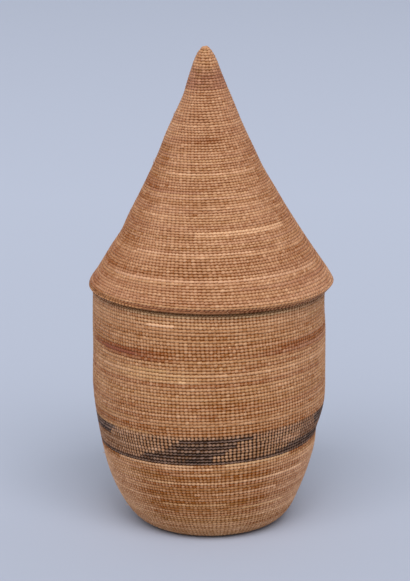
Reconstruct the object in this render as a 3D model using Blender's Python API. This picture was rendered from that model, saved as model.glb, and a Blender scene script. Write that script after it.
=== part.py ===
# Lidded basket of fine twined plant fibre: a round body with a dark dyed band,
# a collar sewn inside its mouth, and a tall pointed lid that lifts straight off.
# Metres, +Z up. The origin is the middle of the flat underside.

import bpy
import bmesh
import numpy as np

# Driving dimensions, wall and joints
WALL = 0.0022
GAP = 0.0003
TONGUE_LENGTH = 0.0015
TONGUE_THICKNESS = 0.0008
AROUND = 48
AROUND_TIP = 24

# Driving dimensions, body
START_RADIUS = 0.0090
START_RELIEF = 0.0005
BASE_RADIUS = 0.0320
BODY_RADIUS = 0.0610
BODY_WIDEST_HEIGHT = 0.0760
BODY_FULLNESS = 1.46
RIM_TAPER = 0.0007
RIM_HEIGHT = 0.1260
BAND_BOTTOM = 0.0466
BAND_HEIGHT = 0.0156
BAND_SLOPE = 0.040

# Driving dimensions, bound edges: a hoop wrapped by a fold of fibre
HOOP_SIZE = 0.0008
BINDING_SKIN = 0.0006
BINDING_PROUD = 0.0002
BINDING_MOUTH = 0.0007

# Driving dimensions, collar
COLLAR_WALL = 0.0018
COLLAR_DEPTH = 0.0150
COLLAR_STAND = 0.0085
COLLAR_LEAN = 0.45
THREAD_DIAMETER = 0.0010
THREAD_WAVES = 24
THREAD_RISE = 0.0060

# Driving dimensions, lid
LID_OVERHANG = 0.0015
LID_LIP = 0.0016
LID_WIDEST_RISE = 0.0030
LID_HEIGHT = 0.1240
LID_HOLLOW = 0.0047
LID_SHOULDER = 0.0017
LID_EDGE_EASE = 0.0080
NOSE_RADIUS = 0.0067
NOSE_HEIGHT = 0.0093
LID_OFFSET = 0.0021
LID_EDGE_SHARE = 0.25
LID_LEAN = 0.055
LID_LEAN_EASE = 0.175
DYED_ROWS_HEIGHT = 0.0110
TIP_CAP_HEIGHT = 0.0100
KNOT_HEIGHT = 0.0022
BUNDLE_RADIUS = 0.0014
BUNDLE_SPREAD = 0.20
BUNDLE_LENGTH = 0.0140
LID_ROW_SLOPE = 0.040

# Sizes that follow: depths run inwards from the wall's outer face
TONGUE_OUTER = (WALL - TONGUE_THICKNESS) / 2
TONGUE_INNER = TONGUE_OUTER + TONGUE_THICKNESS
BINDING_INNER = WALL + BINDING_PROUD
BINDING_HEIGHT = BINDING_SKIN + GAP + HOOP_SIZE + GAP + BINDING_MOUTH
RIM_RADIUS = BODY_RADIUS - RIM_TAPER
LID_EDGE_RADIUS = RIM_RADIUS + LID_OVERHANG
LID_WIDEST_RADIUS = LID_EDGE_RADIUS + LID_LIP
LID_BOTTOM = RIM_HEIGHT + GAP
LID_TOP = LID_BOTTOM + LID_HEIGHT


def clear_scene():
    """Remove every object, so that the model starts from nothing."""
    for item in list(bpy.data.objects):
        bpy.data.objects.remove(item, do_unlink=True)


def fibre(name, colour, roughness):
    """A plain dry plant fibre of one colour."""
    material = bpy.data.materials.new(name)
    material.use_nodes = True
    shader = material.node_tree.nodes["Principled BSDF"]
    shader.inputs["Base Color"].default_value = (*colour, 1.0)
    shader.inputs["Roughness"].default_value = roughness
    shader.inputs["Metallic"].default_value = 0.0
    return material


class Outline:
    """A turned outline, read by the distance along its outer face.

    Depth runs inwards across the wall, square to the outline. With an ease
    length it starts level at the first end and turns square over that length.
    """

    def __init__(self, radius, height, ease_length=0.0):
        self.radius = radius
        self.height = height
        step = np.hypot(np.diff(radius), np.diff(height))
        self.along = np.concatenate([[0.0], np.cumsum(step)])
        direction_r = np.gradient(radius, self.along)
        direction_z = np.gradient(height, self.along)
        length = np.hypot(direction_r, direction_z)
        share = np.clip(self.along / max(ease_length, 1e-9), 0.0, 1.0)
        turned = share * share * (3 - 2 * share) if ease_length else 1.0
        out_r = turned * direction_z / length + (1 - turned)
        out_z = -turned * direction_r / length
        self.out_r = out_r / np.hypot(out_r, out_z)
        self.out_z = out_z / np.hypot(out_r, out_z)

    def point(self, along, depth):
        """Radius and height at a distance along, a depth below the outer face."""
        radius = np.interp(along, self.along, self.radius)
        height = np.interp(along, self.along, self.height)
        out_r = np.interp(along, self.along, self.out_r)
        out_z = np.interp(along, self.along, self.out_z)
        return radius - depth * out_r, height - depth * out_z

    def at_height(self, height):
        """The distance along at which the outline last passes a height."""
        return float(np.interp(height, self.height, self.along))


def body_outline():
    """Flat underside, a full rounded turn, then a nearly straight wall.

    Below the widest height the radius follows a flattened ellipse:
    base + (body - base) * sqrt(1 - (1 - height / widest) ** fullness).
    """
    flat = np.linspace(0.0, BASE_RADIUS, 60, endpoint=False)
    share = np.linspace(0.0, 1.0, 400) ** 2
    spread = BODY_RADIUS - BASE_RADIUS
    turn = BASE_RADIUS + spread * np.sqrt(1 - (1 - share) ** BODY_FULLNESS)
    upper = np.linspace(0.0, 1.0, 120)[1:]
    wall = BODY_RADIUS - (BODY_RADIUS - RIM_RADIUS) * upper ** 2
    radius = np.concatenate([flat, turn, wall])
    height = np.concatenate([
        np.zeros_like(flat),
        BODY_WIDEST_HEIGHT * share,
        BODY_WIDEST_HEIGHT + (RIM_HEIGHT - BODY_WIDEST_HEIGHT) * upper,
    ])
    return Outline(radius, height)


def lid_outline():
    """A short turned-in lip, a hollow-sided cone and a round nose.

    The lip is half a cosine wave, the cone a straight line less a parabola, the
    nose a parabola, and the shoulder between them is a running average.
    """
    rise = np.linspace(0.0, LID_HEIGHT, 1600)
    cone_height = LID_HEIGHT - NOSE_HEIGHT - LID_WIDEST_RISE
    share = (rise - LID_WIDEST_RISE) / cone_height
    cone = NOSE_RADIUS + (LID_WIDEST_RADIUS - NOSE_RADIUS) * (1 - share)
    cone = cone - 4 * LID_HOLLOW * share * (1 - share)
    lip_turn = (1 - np.cos(np.pi * np.clip(rise / LID_WIDEST_RISE, 0, 1))) / 2
    lip = LID_EDGE_RADIUS + (LID_WIDEST_RADIUS - LID_EDGE_RADIUS) * lip_turn
    nose_share = np.clip((rise - LID_HEIGHT + NOSE_HEIGHT) / NOSE_HEIGHT, 0, 1)
    nose = NOSE_RADIUS * np.sqrt(1 - nose_share)
    radius = np.where(rise < LID_WIDEST_RISE, lip, np.where(nose_share > 0, nose, cone))
    window = max(1, int(LID_SHOULDER / (rise[1] - rise[0]))) | 1
    padded = np.pad(radius, window // 2, mode="edge")
    radius = np.convolve(padded, np.ones(window) / window, "valid")
    radius[-1] = 0.0
    return Outline(radius, LID_BOTTOM + rise, LID_EDGE_EASE)


def lid_centre(height):
    """How far the hand-made lid stands off the body's axis at a height."""
    rise = height - LID_BOTTOM
    above = np.maximum(rise - LID_WIDEST_RISE, 0.0)
    drift = LID_OFFSET - LID_LEAN * above + LID_LEAN_EASE * above ** 2
    return drift * np.clip(rise / LID_WIDEST_RISE, LID_EDGE_SHARE, 1.0)


BODY = body_outline()
LID = lid_outline()
BAND_START = BODY.at_height(BAND_BOTTOM)
BAND_END = BODY.at_height(BAND_BOTTOM + BAND_HEIGHT)
WALL_START = BASE_RADIUS
WALL_END = BODY.along[-1] - BINDING_HEIGHT
LID_START = BINDING_HEIGHT
CAP_START = LID.at_height(LID_TOP - TIP_CAP_HEIGHT)
DYED_START = LID.at_height(LID_TOP - TIP_CAP_HEIGHT - DYED_ROWS_HEIGHT)


def body_place(along, depth, angle):
    """Body point. Rows rise towards +X, most at the band, not at base or rim."""
    stations = [WALL_START, BAND_START, BAND_END, WALL_END]
    slope = BAND_SLOPE * np.interp(along, stations, [0.0, 1.0, 1.0, 0.0])
    plain_radius, _ = BODY.point(along, depth)
    shifted = along + slope * plain_radius * np.cos(angle)
    radius, height = BODY.point(shifted, depth)
    return np.stack([radius * np.cos(angle), radius * np.sin(angle), height], axis=-1)


def lid_place(along, depth, angle):
    """Lid point. Rows rise towards +X, and the centre line leans to -X."""
    stations = [LID_START, DYED_START, CAP_START]
    slope = LID_ROW_SLOPE * np.interp(along, stations, [0.0, 1.0, 0.0])
    plain_radius, _ = LID.point(along, depth)
    shifted = along + slope * plain_radius * np.cos(angle)
    radius, height = LID.point(shifted, depth)
    return lid_turn(radius, height, angle)


def lid_turn(radius, height, angle):
    """A turned point on the lid's own leaning centre line."""
    x = radius * np.cos(angle) + lid_centre(height)
    return np.stack([x, radius * np.sin(angle), height + 0 * angle], axis=-1)


def upright_turn(radius, height, angle):
    """A turned point on the body's own upright axis."""
    x = radius * np.cos(angle)
    return np.stack([x, radius * np.sin(angle), height + 0 * angle], axis=-1)


def turned_solid(name, section, place, material, around=AROUND, closed=True):
    """Carry a section round the axis and close it into one solid.

    section is a list of pairs of numbers, which place turns into points.
    An open section starts and ends on the axis.
    """
    first = np.array([pair[0] for pair in section])
    second = np.array([pair[1] for pair in section])
    angle = np.arange(around) * 2 * np.pi / around
    grid = place(first[None, :], second[None, :], angle[:, None])
    faces = ring_faces(around, len(section), closed)
    finish_mesh(name, grid.reshape(-1, 3), faces, material)


def ring_faces(around, count, closed):
    """Four-sided faces between neighbouring sections of count points each."""
    faces = []
    for i in range(around):
        here = i * count
        there = (i + 1) % around * count
        for j in range(count if closed else count - 1):
            k = (j + 1) % count
            faces.append((here + j, here + k, there + k, there + j))
    return faces


def finish_mesh(name, points, faces, material):
    """Make one closed, outward-facing object from points and faces."""
    mesh = bpy.data.meshes.new(name)
    mesh.from_pydata(points.tolist(), [], faces)
    work = bmesh.new()
    work.from_mesh(mesh)
    bmesh.ops.remove_doubles(work, verts=work.verts, dist=1e-7)
    bmesh.ops.dissolve_degenerate(work, edges=work.edges, dist=1e-7)
    bmesh.ops.recalc_face_normals(work, faces=work.faces)
    work.to_mesh(mesh)
    work.free()
    mesh.shade_smooth()
    mesh.set_sharp_from_angle(angle=np.radians(35))
    mesh.materials.append(material)
    piece = bpy.data.objects.new(name, mesh)
    bpy.context.scene.collection.objects.link(piece)


def joint_points(edge, out, kind, length):
    """The joint at the end of a length of wall, from its outer to its inner side.

    out is +1 at the upper end and -1 at the lower one. The stakes run through
    from one length into the next, so one has a tongue and the other a groove.
    """
    if kind == "tongue":
        reach, outer, inner = edge + out * length, TONGUE_OUTER, TONGUE_INNER
    else:
        reach, outer, inner = edge - out * length, TONGUE_OUTER - GAP, TONGUE_INNER + GAP
    return [(edge, outer), (reach, outer), (reach, inner), (edge, inner)]


def wall_section(start, end, steps, foot=("groove", TONGUE_LENGTH), head=("tongue", TONGUE_LENGTH)):
    """Section of a length of wall, in distance along and depth."""
    low = start + GAP / 2
    high = end - GAP / 2
    run = np.linspace(low, high, steps)
    section = [(along, 0.0) for along in run]
    section += joint_points(high, 1, *head)
    section += [(along, WALL) for along in run[::-1]]
    section += joint_points(low, -1, *foot)[::-1]
    return section


def binding_section(inside, outside):
    """Section of a folded binding, open where the wall's stakes enter it.

    inside is the distance along of its open edge, outside of its fold.
    """
    floor = outside - np.sign(outside - inside) * BINDING_SKIN
    core_outer = (WALL - HOOP_SIZE) / 2 - GAP
    core_inner = core_outer + HOOP_SIZE + 2 * GAP
    return [
        (inside, -BINDING_PROUD), (outside, -BINDING_PROUD),
        (outside, BINDING_INNER), (inside, BINDING_INNER),
        (inside, core_inner), (floor, core_inner),
        (floor, core_outer), (inside, core_outer),
    ]


def hoop_section(inside, outside):
    """Square section of the hoop that lies in a binding's fold."""
    turn = np.sign(outside - inside)
    near = outside - turn * (BINDING_SKIN + GAP)
    far = near - turn * HOOP_SIZE
    outer = (WALL - HOOP_SIZE) / 2
    inner = outer + HOOP_SIZE
    return [(near, outer), (near, inner), (far, inner), (far, outer)]


def make_base_start(material):
    """The crossed stakes that the base starts from, flat underneath."""
    edge = START_RADIUS - GAP / 2
    crossing = 0.75 * edge
    margin = 0.9 * edge
    section = [(0.0, 0.0), (edge, 0.0)]
    section += joint_points(edge, 1, "tongue", TONGUE_LENGTH)
    section += [(edge, WALL), (margin, WALL), (crossing, WALL), (crossing / 2, WALL), (0.0, WALL)]

    def place(radius, height, angle):
        """Two crossed bundles of stakes stand up a little on the inside."""
        cross = np.maximum(np.abs(np.cos(angle)), np.abs(np.sin(angle))) ** 6
        raised = (height >= WALL) & (radius <= crossing)
        relief = np.where(radius > 0, START_RELIEF * cross, START_RELIEF)
        return upright_turn(radius, height + np.where(raised, relief, 0.0), angle)

    turned_solid("base_start", section, place, material, AROUND_TIP, closed=False)


def make_base_disc(material):
    """The flat twined disc of the base."""
    section = wall_section(START_RADIUS, WALL_START, 3)
    turned_solid("base_disc", section, body_place, material)


def make_walls(natural, dyed):
    """The body wall in three runs of weft: natural, dyed band, natural."""
    into_rim = ("tongue", BINDING_MOUTH)
    lower = wall_section(WALL_START, BAND_START, 8)
    band = wall_section(BAND_START, BAND_END, 3)
    upper = wall_section(BAND_END, WALL_END, 5, head=into_rim)
    turned_solid("wall_lower", lower, body_place, natural)
    turned_solid("wall_band", band, body_place, dyed)
    turned_solid("wall_upper", upper, body_place, natural)


def make_rim(material, cane):
    """The bound rim of the body, with its hoop."""
    inside = WALL_END + GAP / 2
    outside = BODY.along[-1]
    turned_solid("rim_binding", binding_section(inside, outside), body_place, material)
    turned_solid("rim_hoop", hoop_section(inside, outside), body_place, cane)


def collar_radius(height):
    """Outer radius of the collar: upright in the mouth, leaning in above it."""
    seat = RIM_RADIUS - BINDING_INNER - GAP
    return seat - COLLAR_LEAN * np.maximum(height - RIM_HEIGHT, 0.0)


def collar_place(height, depth, angle):
    """Collar point at a height, a depth in from its outer face."""
    return upright_turn(collar_radius(height) - depth, height, angle)


def make_collar(material, cane):
    """The collar sewn inside the mouth, and its bound top edge."""
    low = RIM_HEIGHT - COLLAR_DEPTH
    top = RIM_HEIGHT + COLLAR_STAND
    neck = top - BINDING_SKIN - GAP
    foot = neck - TONGUE_LENGTH
    outer = (COLLAR_WALL - TONGUE_THICKNESS) / 2
    inner = outer + TONGUE_THICKNESS
    wall = [(low, 0.0), (RIM_HEIGHT, 0.0), (foot, 0.0), (foot, outer), (neck, outer)]
    wall += [(neck, inner), (foot, inner), (foot, COLLAR_WALL)]
    wall += [(RIM_HEIGHT, COLLAR_WALL), (low, COLLAR_WALL)]
    edge = foot + GAP
    floor = neck + GAP
    cover = [(edge, 0.0), (top, 0.0), (top, COLLAR_WALL), (edge, COLLAR_WALL)]
    cover += [(edge, inner + GAP), (floor, inner + GAP)]
    cover += [(floor, outer - GAP), (edge, outer - GAP)]
    turned_solid("collar", wall, collar_place, material)
    turned_solid("collar_binding", cover, collar_place, cane)


def make_stitching(material):
    """The thread that sews the collar to the wall, a wave round the inside."""
    count = THREAD_WAVES * 6
    turn = (np.arange(count) * 2 * np.pi / count)[:, None]
    thickness = THREAD_DIAMETER / 2
    radius = RIM_RADIUS - BINDING_INNER - GAP - COLLAR_WALL - GAP - thickness
    middle = RIM_HEIGHT - COLLAR_DEPTH / 2
    height = middle + THREAD_RISE / 2 * np.sin(THREAD_WAVES * turn)
    slope = THREAD_RISE / 2 * THREAD_WAVES * np.cos(THREAD_WAVES * turn) / radius
    steep = 1 / np.hypot(1, slope)
    corner = np.arange(4)[None, :] * np.pi / 2
    across = thickness * np.sin(corner) * steep
    angle = turn - across * slope / radius
    grid = upright_turn(radius - thickness * np.cos(corner) + 0 * turn, height + across, angle)
    finish_mesh("collar_stitching", grid.reshape(-1, 3), ring_faces(count, 4, True), material)


def make_lid_edge(material, cane):
    """The bound edge of the lid, with its hoop."""
    inside = LID_START - GAP / 2
    turned_solid("lid_edge_binding", binding_section(inside, 0.0), lid_place, material)
    turned_solid("lid_edge_hoop", hoop_section(inside, 0.0), lid_place, cane)


def make_lid_walls(natural, dyed):
    """The lid's cone and the darker rows near its tip."""
    cone = wall_section(LID_START, DYED_START, 9, foot=("tongue", BINDING_MOUTH))
    rows = wall_section(DYED_START, CAP_START, 3)
    turned_solid("lid_cone", cone, lid_place, natural)
    turned_solid("lid_dyed_rows", rows, lid_place, dyed, AROUND_TIP)


def bundle_radius(height):
    """Radius of the gathered stake ends, which spread as they go down."""
    return BUNDLE_RADIUS + BUNDLE_SPREAD * (LID_TOP - height)


def make_lid_tip(natural, stakes):
    """The rows that close the tip, and the bundle of stake ends inside them."""
    low = CAP_START + GAP / 2
    shoulder = LID_TOP - KNOT_HEIGHT - GAP / 2
    run = np.linspace(low, LID.at_height(shoulder), 4)
    outside = [LID.point(along, 0.0) for along in run]
    groove = [LID.point(*pair) for pair in joint_points(low, -1, "groove", TONGUE_LENGTH)]
    foot = groove[-1][1]
    hole = [(bundle_radius(height) + GAP, height) for height in (shoulder, foot)]
    turned_solid("lid_tip_cap", outside + hole + groove[::-1], lid_turn, natural, AROUND_TIP)

    knot_foot = LID_TOP - KNOT_HEIGHT + GAP / 2
    knot_run = np.linspace(LID.at_height(knot_foot), LID.along[-1], 4)
    end = LID_TOP - BUNDLE_LENGTH
    bundle = [(0.0, end), (bundle_radius(end), end), (bundle_radius(knot_foot), knot_foot)]
    bundle += [LID.point(along, 0.0) for along in knot_run]
    turned_solid("lid_stake_bundle", bundle, lid_turn, stakes, AROUND_TIP, closed=False)


def main():
    """Build the whole basket."""
    clear_scene()
    natural = fibre("tan_fibre", (0.42, 0.22, 0.10), 0.72)
    dyed = fibre("black_dyed_fibre", (0.045, 0.032, 0.026), 0.70)
    reddish = fibre("reddish_fibre", (0.27, 0.11, 0.05), 0.72)
    olive = fibre("olive_fibre", (0.32, 0.23, 0.12), 0.75)
    cane = fibre("cane", (0.50, 0.31, 0.15), 0.60)
    thread = fibre("sewing_thread", (0.46, 0.30, 0.16), 0.80)
    make_base_start(natural)
    make_base_disc(natural)
    make_walls(natural, dyed)
    make_rim(olive, cane)
    make_collar(natural, cane)
    make_stitching(thread)
    make_lid_edge(natural, cane)
    make_lid_walls(natural, reddish)
    make_lid_tip(natural, cane)


main()
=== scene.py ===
# %% [markdown]
# # A lidded basket of fine twined plant fibre
# The real basket is made of two things only: thin flat splints, the stakes, which stand side
# by side from the base to the rim, and pairs of soft strands, the weft, twisted round the
# stakes row after row. Nothing else gives it its surface, so nothing else is modelled: no
# picture of a weave is laid on a smooth pot. Each strand is a closed tube that passes in front
# of one stake and behind the next, and the dark dots between the stitches are real hollows.
# The hollows are also darkened by painted shade in the strands' colour.

import bpy
import numpy as np
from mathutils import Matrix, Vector


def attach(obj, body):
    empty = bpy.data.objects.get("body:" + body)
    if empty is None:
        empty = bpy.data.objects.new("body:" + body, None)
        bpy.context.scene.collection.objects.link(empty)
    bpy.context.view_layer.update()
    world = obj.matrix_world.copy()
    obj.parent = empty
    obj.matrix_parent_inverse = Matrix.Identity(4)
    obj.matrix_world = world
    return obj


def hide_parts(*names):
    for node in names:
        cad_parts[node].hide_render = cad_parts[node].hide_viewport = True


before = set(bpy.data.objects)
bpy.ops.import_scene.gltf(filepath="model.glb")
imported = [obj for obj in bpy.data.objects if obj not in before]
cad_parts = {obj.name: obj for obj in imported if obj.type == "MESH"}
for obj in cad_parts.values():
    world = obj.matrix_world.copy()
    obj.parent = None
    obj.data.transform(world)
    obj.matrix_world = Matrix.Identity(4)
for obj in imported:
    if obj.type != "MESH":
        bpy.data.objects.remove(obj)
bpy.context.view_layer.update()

# %% [markdown]
# ## Sizes
# These are the solid part's own sizes, in metres, with +Z up and the photographed side at -Y.
# They could be measured on the solids, but a strand has to lie between the two faces of a
# wall, and for that the rule behind the wall's shape is needed. So the same outlines are
# worked out here from the same few sizes.

# %% Sizes of the body, the collar and the lid
TURN = 2 * np.pi
WALL = 0.0022
GAP = 0.0003
START_RADIUS = 0.0090
BASE_RADIUS = 0.0320
BODY_RADIUS = 0.0610
BODY_WIDEST_HEIGHT = 0.0760
BODY_FULLNESS = 1.46
RIM_RADIUS = 0.0603
RIM_HEIGHT = 0.1260
BAND_BOTTOM = 0.0466
BAND_TOP = 0.0622
ROW_SLOPE = 0.040
BINDING_HEIGHT = 0.0027
BINDING_PROUD = 0.0002
COLLAR_WALL = 0.0018
COLLAR_BOTTOM = 0.1110
COLLAR_TOP = 0.1345
COLLAR_LEAN = 0.45
LID_BOTTOM = 0.1263
LID_HEIGHT = 0.1240
LID_EDGE_RADIUS = 0.0618
LID_WIDEST_RADIUS = 0.0634
LID_WIDEST_RISE = 0.0030
LID_HOLLOW = 0.0047
LID_SHOULDER = 0.0017
LID_EDGE_EASE = 0.0080
NOSE_RADIUS = 0.0067
NOSE_HEIGHT = 0.0093
DYED_ROWS_TOP = 0.2403
DYED_ROWS_BOTTOM = 0.2293
LID_TOP = LID_BOTTOM + LID_HEIGHT
print("height of the whole in mm:", round(1000 * LID_TOP, 1))

# %% [markdown]
# ## Two outlines
# The body is a rounded pot with nearly upright walls, and the lid is a hollow-sided cone. A
# drawn profile under a Screw modifier would give both forms, but no rows to weave along. So
# each outline is a formula that is read by the distance along it. A row of weft is then a line
# of constant distance, and a place in the wall is a depth, measured inwards and square to it.

# %% Read an outline by distance and depth
def read_by_distance(radius, height, ease_length=0.0):
    """Distance along the outline with its radius, height and outward direction.

    The outward direction is the outline's own direction turned a quarter. With an ease
    length it starts level and turns square over that length.
    """
    along = np.concatenate([[0.0], np.cumsum(np.hypot(np.diff(radius), np.diff(height)))])
    out_r = np.gradient(height, along)
    out_z = -np.gradient(radius, along)
    if ease_length:
        share = np.clip(along / ease_length, 0.0, 1.0)
        turned = share * share * (3 - 2 * share)
        size = np.hypot(out_r, out_z)
        out_r = turned * out_r / size + 1 - turned
        out_z = turned * out_z / size
    size = np.hypot(out_r, out_z)
    return along, radius, height, out_r / size, out_z / size


def outline_point(outline, along, depth):
    """Radius and height at a distance along and a depth below the outer face."""
    radius, height, out_r, out_z = (np.interp(along, outline[0], row) for row in outline[1:])
    return radius - depth * out_r, height - depth * out_z


def distance_at(outline, height):
    """The distance along at which the outline last passes a height."""
    return float(np.interp(height, outline[2], outline[0]))


# %% The body's outline: flat, a full turn, then nearly upright
def body_curve():
    """base + (body - base) * sqrt(1 - (1 - height / widest) ** fullness), then a slight taper."""
    flat = np.linspace(0.0, BASE_RADIUS, 60, endpoint=False)
    share = np.linspace(0.0, 1.0, 400) ** 2
    full = np.sqrt(1 - (1 - share) ** BODY_FULLNESS)
    upper = np.linspace(0.0, 1.0, 120)[1:]
    turn = BASE_RADIUS + (BODY_RADIUS - BASE_RADIUS) * full
    wall = BODY_RADIUS - (BODY_RADIUS - RIM_RADIUS) * upper**2
    rise = BODY_WIDEST_HEIGHT + (RIM_HEIGHT - BODY_WIDEST_HEIGHT) * upper
    radius = np.concatenate([flat, turn, wall])
    height = np.concatenate([0 * flat, BODY_WIDEST_HEIGHT * share, rise])
    return read_by_distance(radius, height)


# %% The lid's outline: a turned-in lip, a hollow-sided cone, a round nose
def lid_curve():
    """Half a cosine wave, a straight line less a parabola, and a parabola, then averaged."""
    rise = np.linspace(0.0, LID_HEIGHT, 1600)
    share = (rise - LID_WIDEST_RISE) / (LID_HEIGHT - NOSE_HEIGHT - LID_WIDEST_RISE)
    cone = NOSE_RADIUS + (LID_WIDEST_RADIUS - NOSE_RADIUS) * (1 - share)
    cone = cone - 4 * LID_HOLLOW * share * (1 - share)
    lip_turn = (1 - np.cos(np.pi * np.clip(rise / LID_WIDEST_RISE, 0, 1))) / 2
    lip = LID_EDGE_RADIUS + (LID_WIDEST_RADIUS - LID_EDGE_RADIUS) * lip_turn
    nose_share = np.clip((rise - LID_HEIGHT + NOSE_HEIGHT) / NOSE_HEIGHT, 0, 1)
    nose = NOSE_RADIUS * np.sqrt(1 - nose_share)
    radius = np.where(rise < LID_WIDEST_RISE, lip, np.where(nose_share > 0, nose, cone))
    window = int(LID_SHOULDER / (rise[1] - rise[0])) | 1
    padded = np.pad(radius, window // 2, mode="edge")
    radius = np.convolve(padded, np.ones(window) / window, "valid")
    radius[-1] = 0.0
    return read_by_distance(radius, LID_BOTTOM + rise, LID_EDGE_EASE)


BODY = body_curve()
LID = lid_curve()
BAND_START = distance_at(BODY, BAND_BOTTOM)
BAND_END = distance_at(BODY, BAND_TOP)
WALL_END = BODY[0][-1] - BINDING_HEIGHT
DYED_START = distance_at(LID, DYED_ROWS_BOTTOM)
CAP_START = distance_at(LID, DYED_ROWS_TOP)
print("body outline mm:", round(BODY[0][-1] * 1000), "lid outline mm:", round(LID[0][-1] * 1000))

# %% [markdown]
# ## A form shaped by hand
# A basket shaped by hand isn't quite regular. Its rows rise a little to one side, the lid's
# centre line wanders as it goes up, and here and there the wall is pressed in or out. A lattice
# could bend the finished weave. It is simpler to bend the rule that says where a point goes,
# because the strands and the stakes then follow by themselves.

# %% The front, and the lid's centre line
FRONT = -TURN / 4
LID_DRIFT = (0.0021, -0.055, 0.175)


def degrees_right(angle):
    """Degrees to the right of the middle of the front, -180 to 180."""
    return np.degrees(angle - FRONT + np.pi) % 360 - 180


def lid_centre(height):
    """How far the lid stands off the body's axis at a height: a slow parabola."""
    rise = height - LID_BOTTOM
    above = np.maximum(rise - LID_WIDEST_RISE, 0.0)
    drift = LID_DRIFT[0] + LID_DRIFT[1] * above + LID_DRIFT[2] * above**2
    return drift * np.clip(rise / LID_WIDEST_RISE, 0.25, 1.0)


print("the lid's tip stands off the axis by mm:", round(1000 * float(lid_centre(LID_TOP)), 2))

# %% How steeply the rows rise to the right
# Pairs of a distance along the outline and a share of ROW_SLOPE
BODY_SLOPES = (
    (BASE_RADIUS, 0.0), (BASE_RADIUS + 0.012, 0.60), (BASE_RADIUS + 0.030, 0.85),
    (BAND_START, 1.0), (BAND_END, 1.0), (BAND_END + 0.030, 0.70), (WALL_END, 0.0),
)
LID_SLOPES = (
    (BINDING_HEIGHT, 0.0), (0.016, 0.62), (0.035, 0.85), (DYED_START, 1.0), (CAP_START, 0.0),
)
print("rise of a row across the band in mm:", round(2000 * BODY_RADIUS * ROW_SLOPE, 1))

# %% Where a hand pressed the wall in, or out
# Degrees to the right of the front, height, depth inwards and spread up and down
BODY_DENTS = (
    (84, 0.066, -0.0005, 0.007), (-80, 0.094, 0.0003, 0.011), (150, 0.085, 0.0005, 0.014),
    (-140, 0.060, -0.0004, 0.012), (-170, 0.100, 0.0004, 0.007), (86, 0.0505, 0.0011, 0.006),
    (86, 0.1165, 0.0005, 0.008), (-86, 0.028, -0.0008, 0.016), (86, 0.005, -0.0010, 0.008),
)
LID_DENTS = (
    (-84, 0.2255, 0.0006, 0.006), (-84, 0.2065, -0.0006, 0.008), (-80, 0.1545, 0.0009, 0.006),
    (88, 0.1880, 0.0005, 0.007), (88, 0.2240, -0.0004, 0.010), (150, 0.1700, 0.0006, 0.010),
    (-150, 0.1950, -0.0005, 0.010), (-165, 0.1600, 0.0005, 0.007), (86, 0.1290, 0.0007, 0.0035),
    (-86, 0.1290, -0.0006, 0.0035),
)


def pressed(height, angle, dents):
    """Depth of the dents: a bell curve up and down, times the cube of a cosine round."""
    depth = 0 * (height + angle)
    for degrees, middle, inwards, spread in dents:
        facing = np.maximum(np.cos(angle - FRONT - np.radians(degrees)), 0.0) ** 3
        depth = depth + inwards * facing * np.exp(-(((height - middle) / spread) ** 2))
    return depth


print("dents in the body and the lid:", len(BODY_DENTS), len(LID_DENTS))

# %% Points of the body and the lid
def on_wall(outline, slopes, dents, along, depth, angle):
    """Radius and height of a point, with its row's rise and the dents."""
    slope = ROW_SLOPE * np.interp(along, *zip(*slopes))
    shifted = along + slope * outline_point(outline, along, depth)[0] * np.cos(angle)
    radius, height = outline_point(outline, shifted, depth)
    return radius - pressed(height, angle, dents), height


def on_body(along, depth, angle):
    """Body point. Rows rise towards +X, most at the band, not at base or rim."""
    radius, height = on_wall(BODY, BODY_SLOPES, BODY_DENTS, along, depth, angle)
    return np.stack([radius * np.cos(angle), radius * np.sin(angle), height], axis=-1)


def on_lid(along, depth, angle):
    """Lid point. Rows rise towards +X, and the centre line leans to -X."""
    radius, height = on_wall(LID, LID_SLOPES, LID_DENTS, along, depth, angle)
    x = radius * np.cos(angle) + lid_centre(height)
    return np.stack([x, radius * np.sin(angle), height], axis=-1)


band_front = [on_body(along, 0.0, FRONT)[2] for along in (BAND_START, BAND_END)]
print("the band's height at the front in mm:", np.round(1000 * np.array(band_front), 1).tolist())

# %% Points of the collar
def collar_radius(height):
    """Outer radius of the collar: upright in the mouth, leaning in above it."""
    seat = RIM_RADIUS - WALL - BINDING_PROUD - GAP
    return seat - COLLAR_LEAN * np.maximum(height - RIM_HEIGHT, 0.0)


def on_collar(height, depth, angle):
    """Collar point at a height, a depth in from its outer face."""
    radius = collar_radius(height) - depth
    level = height + 0 * radius * angle
    return np.stack([radius * np.cos(angle), radius * np.sin(angle), level], axis=-1)


print("the collar's radius at its top in mm:", round(1000 * float(collar_radius(COLLAR_TOP)), 1))

# %% [markdown]
# ## Meshes out of grids
# A strand, a stake or a hair of fibre is a tube. Bevelled curves could make them, but a basket
# has thousands, and each curve would have to be turned into a mesh. A tube is also a grid of
# points, rings along its length and sides round it, and numpy puts whole grids into one mesh
# at once. Each tube gets three values that the finish reads later: how pale and how red its
# fibre is, and how much dye it took. It also gets two maps. One is in centimetres along the
# fibre. In the other every tube has a strip of its own, so that the finish can be baked for
# the exported model.
# The pale value also carries painted light and shade, and the red value a painted sheen round the
# two sides.

# %% Put points and faces into a mesh, and a mesh into the scene
def mesh_from(name, points, quads):
    """A smooth mesh of four-sided faces."""
    mesh = bpy.data.meshes.new(name)
    mesh.vertices.add(len(points))
    mesh.vertices.foreach_set("co", points.astype("f").ravel())
    mesh.loops.add(quads.size)
    mesh.loops.foreach_set("vertex_index", quads.astype("i").ravel())
    mesh.polygons.add(len(quads))
    mesh.polygons.foreach_set("loop_start", np.arange(0, quads.size, 4, dtype="i"))
    mesh.update(calc_edges=True)
    mesh.shade_smooth()
    return mesh


def new_object(name, data):
    """An object in the scene, unturned and at the origin."""
    made = bpy.data.objects.new(name, data)
    bpy.context.scene.collection.objects.link(made)
    return made


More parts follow.
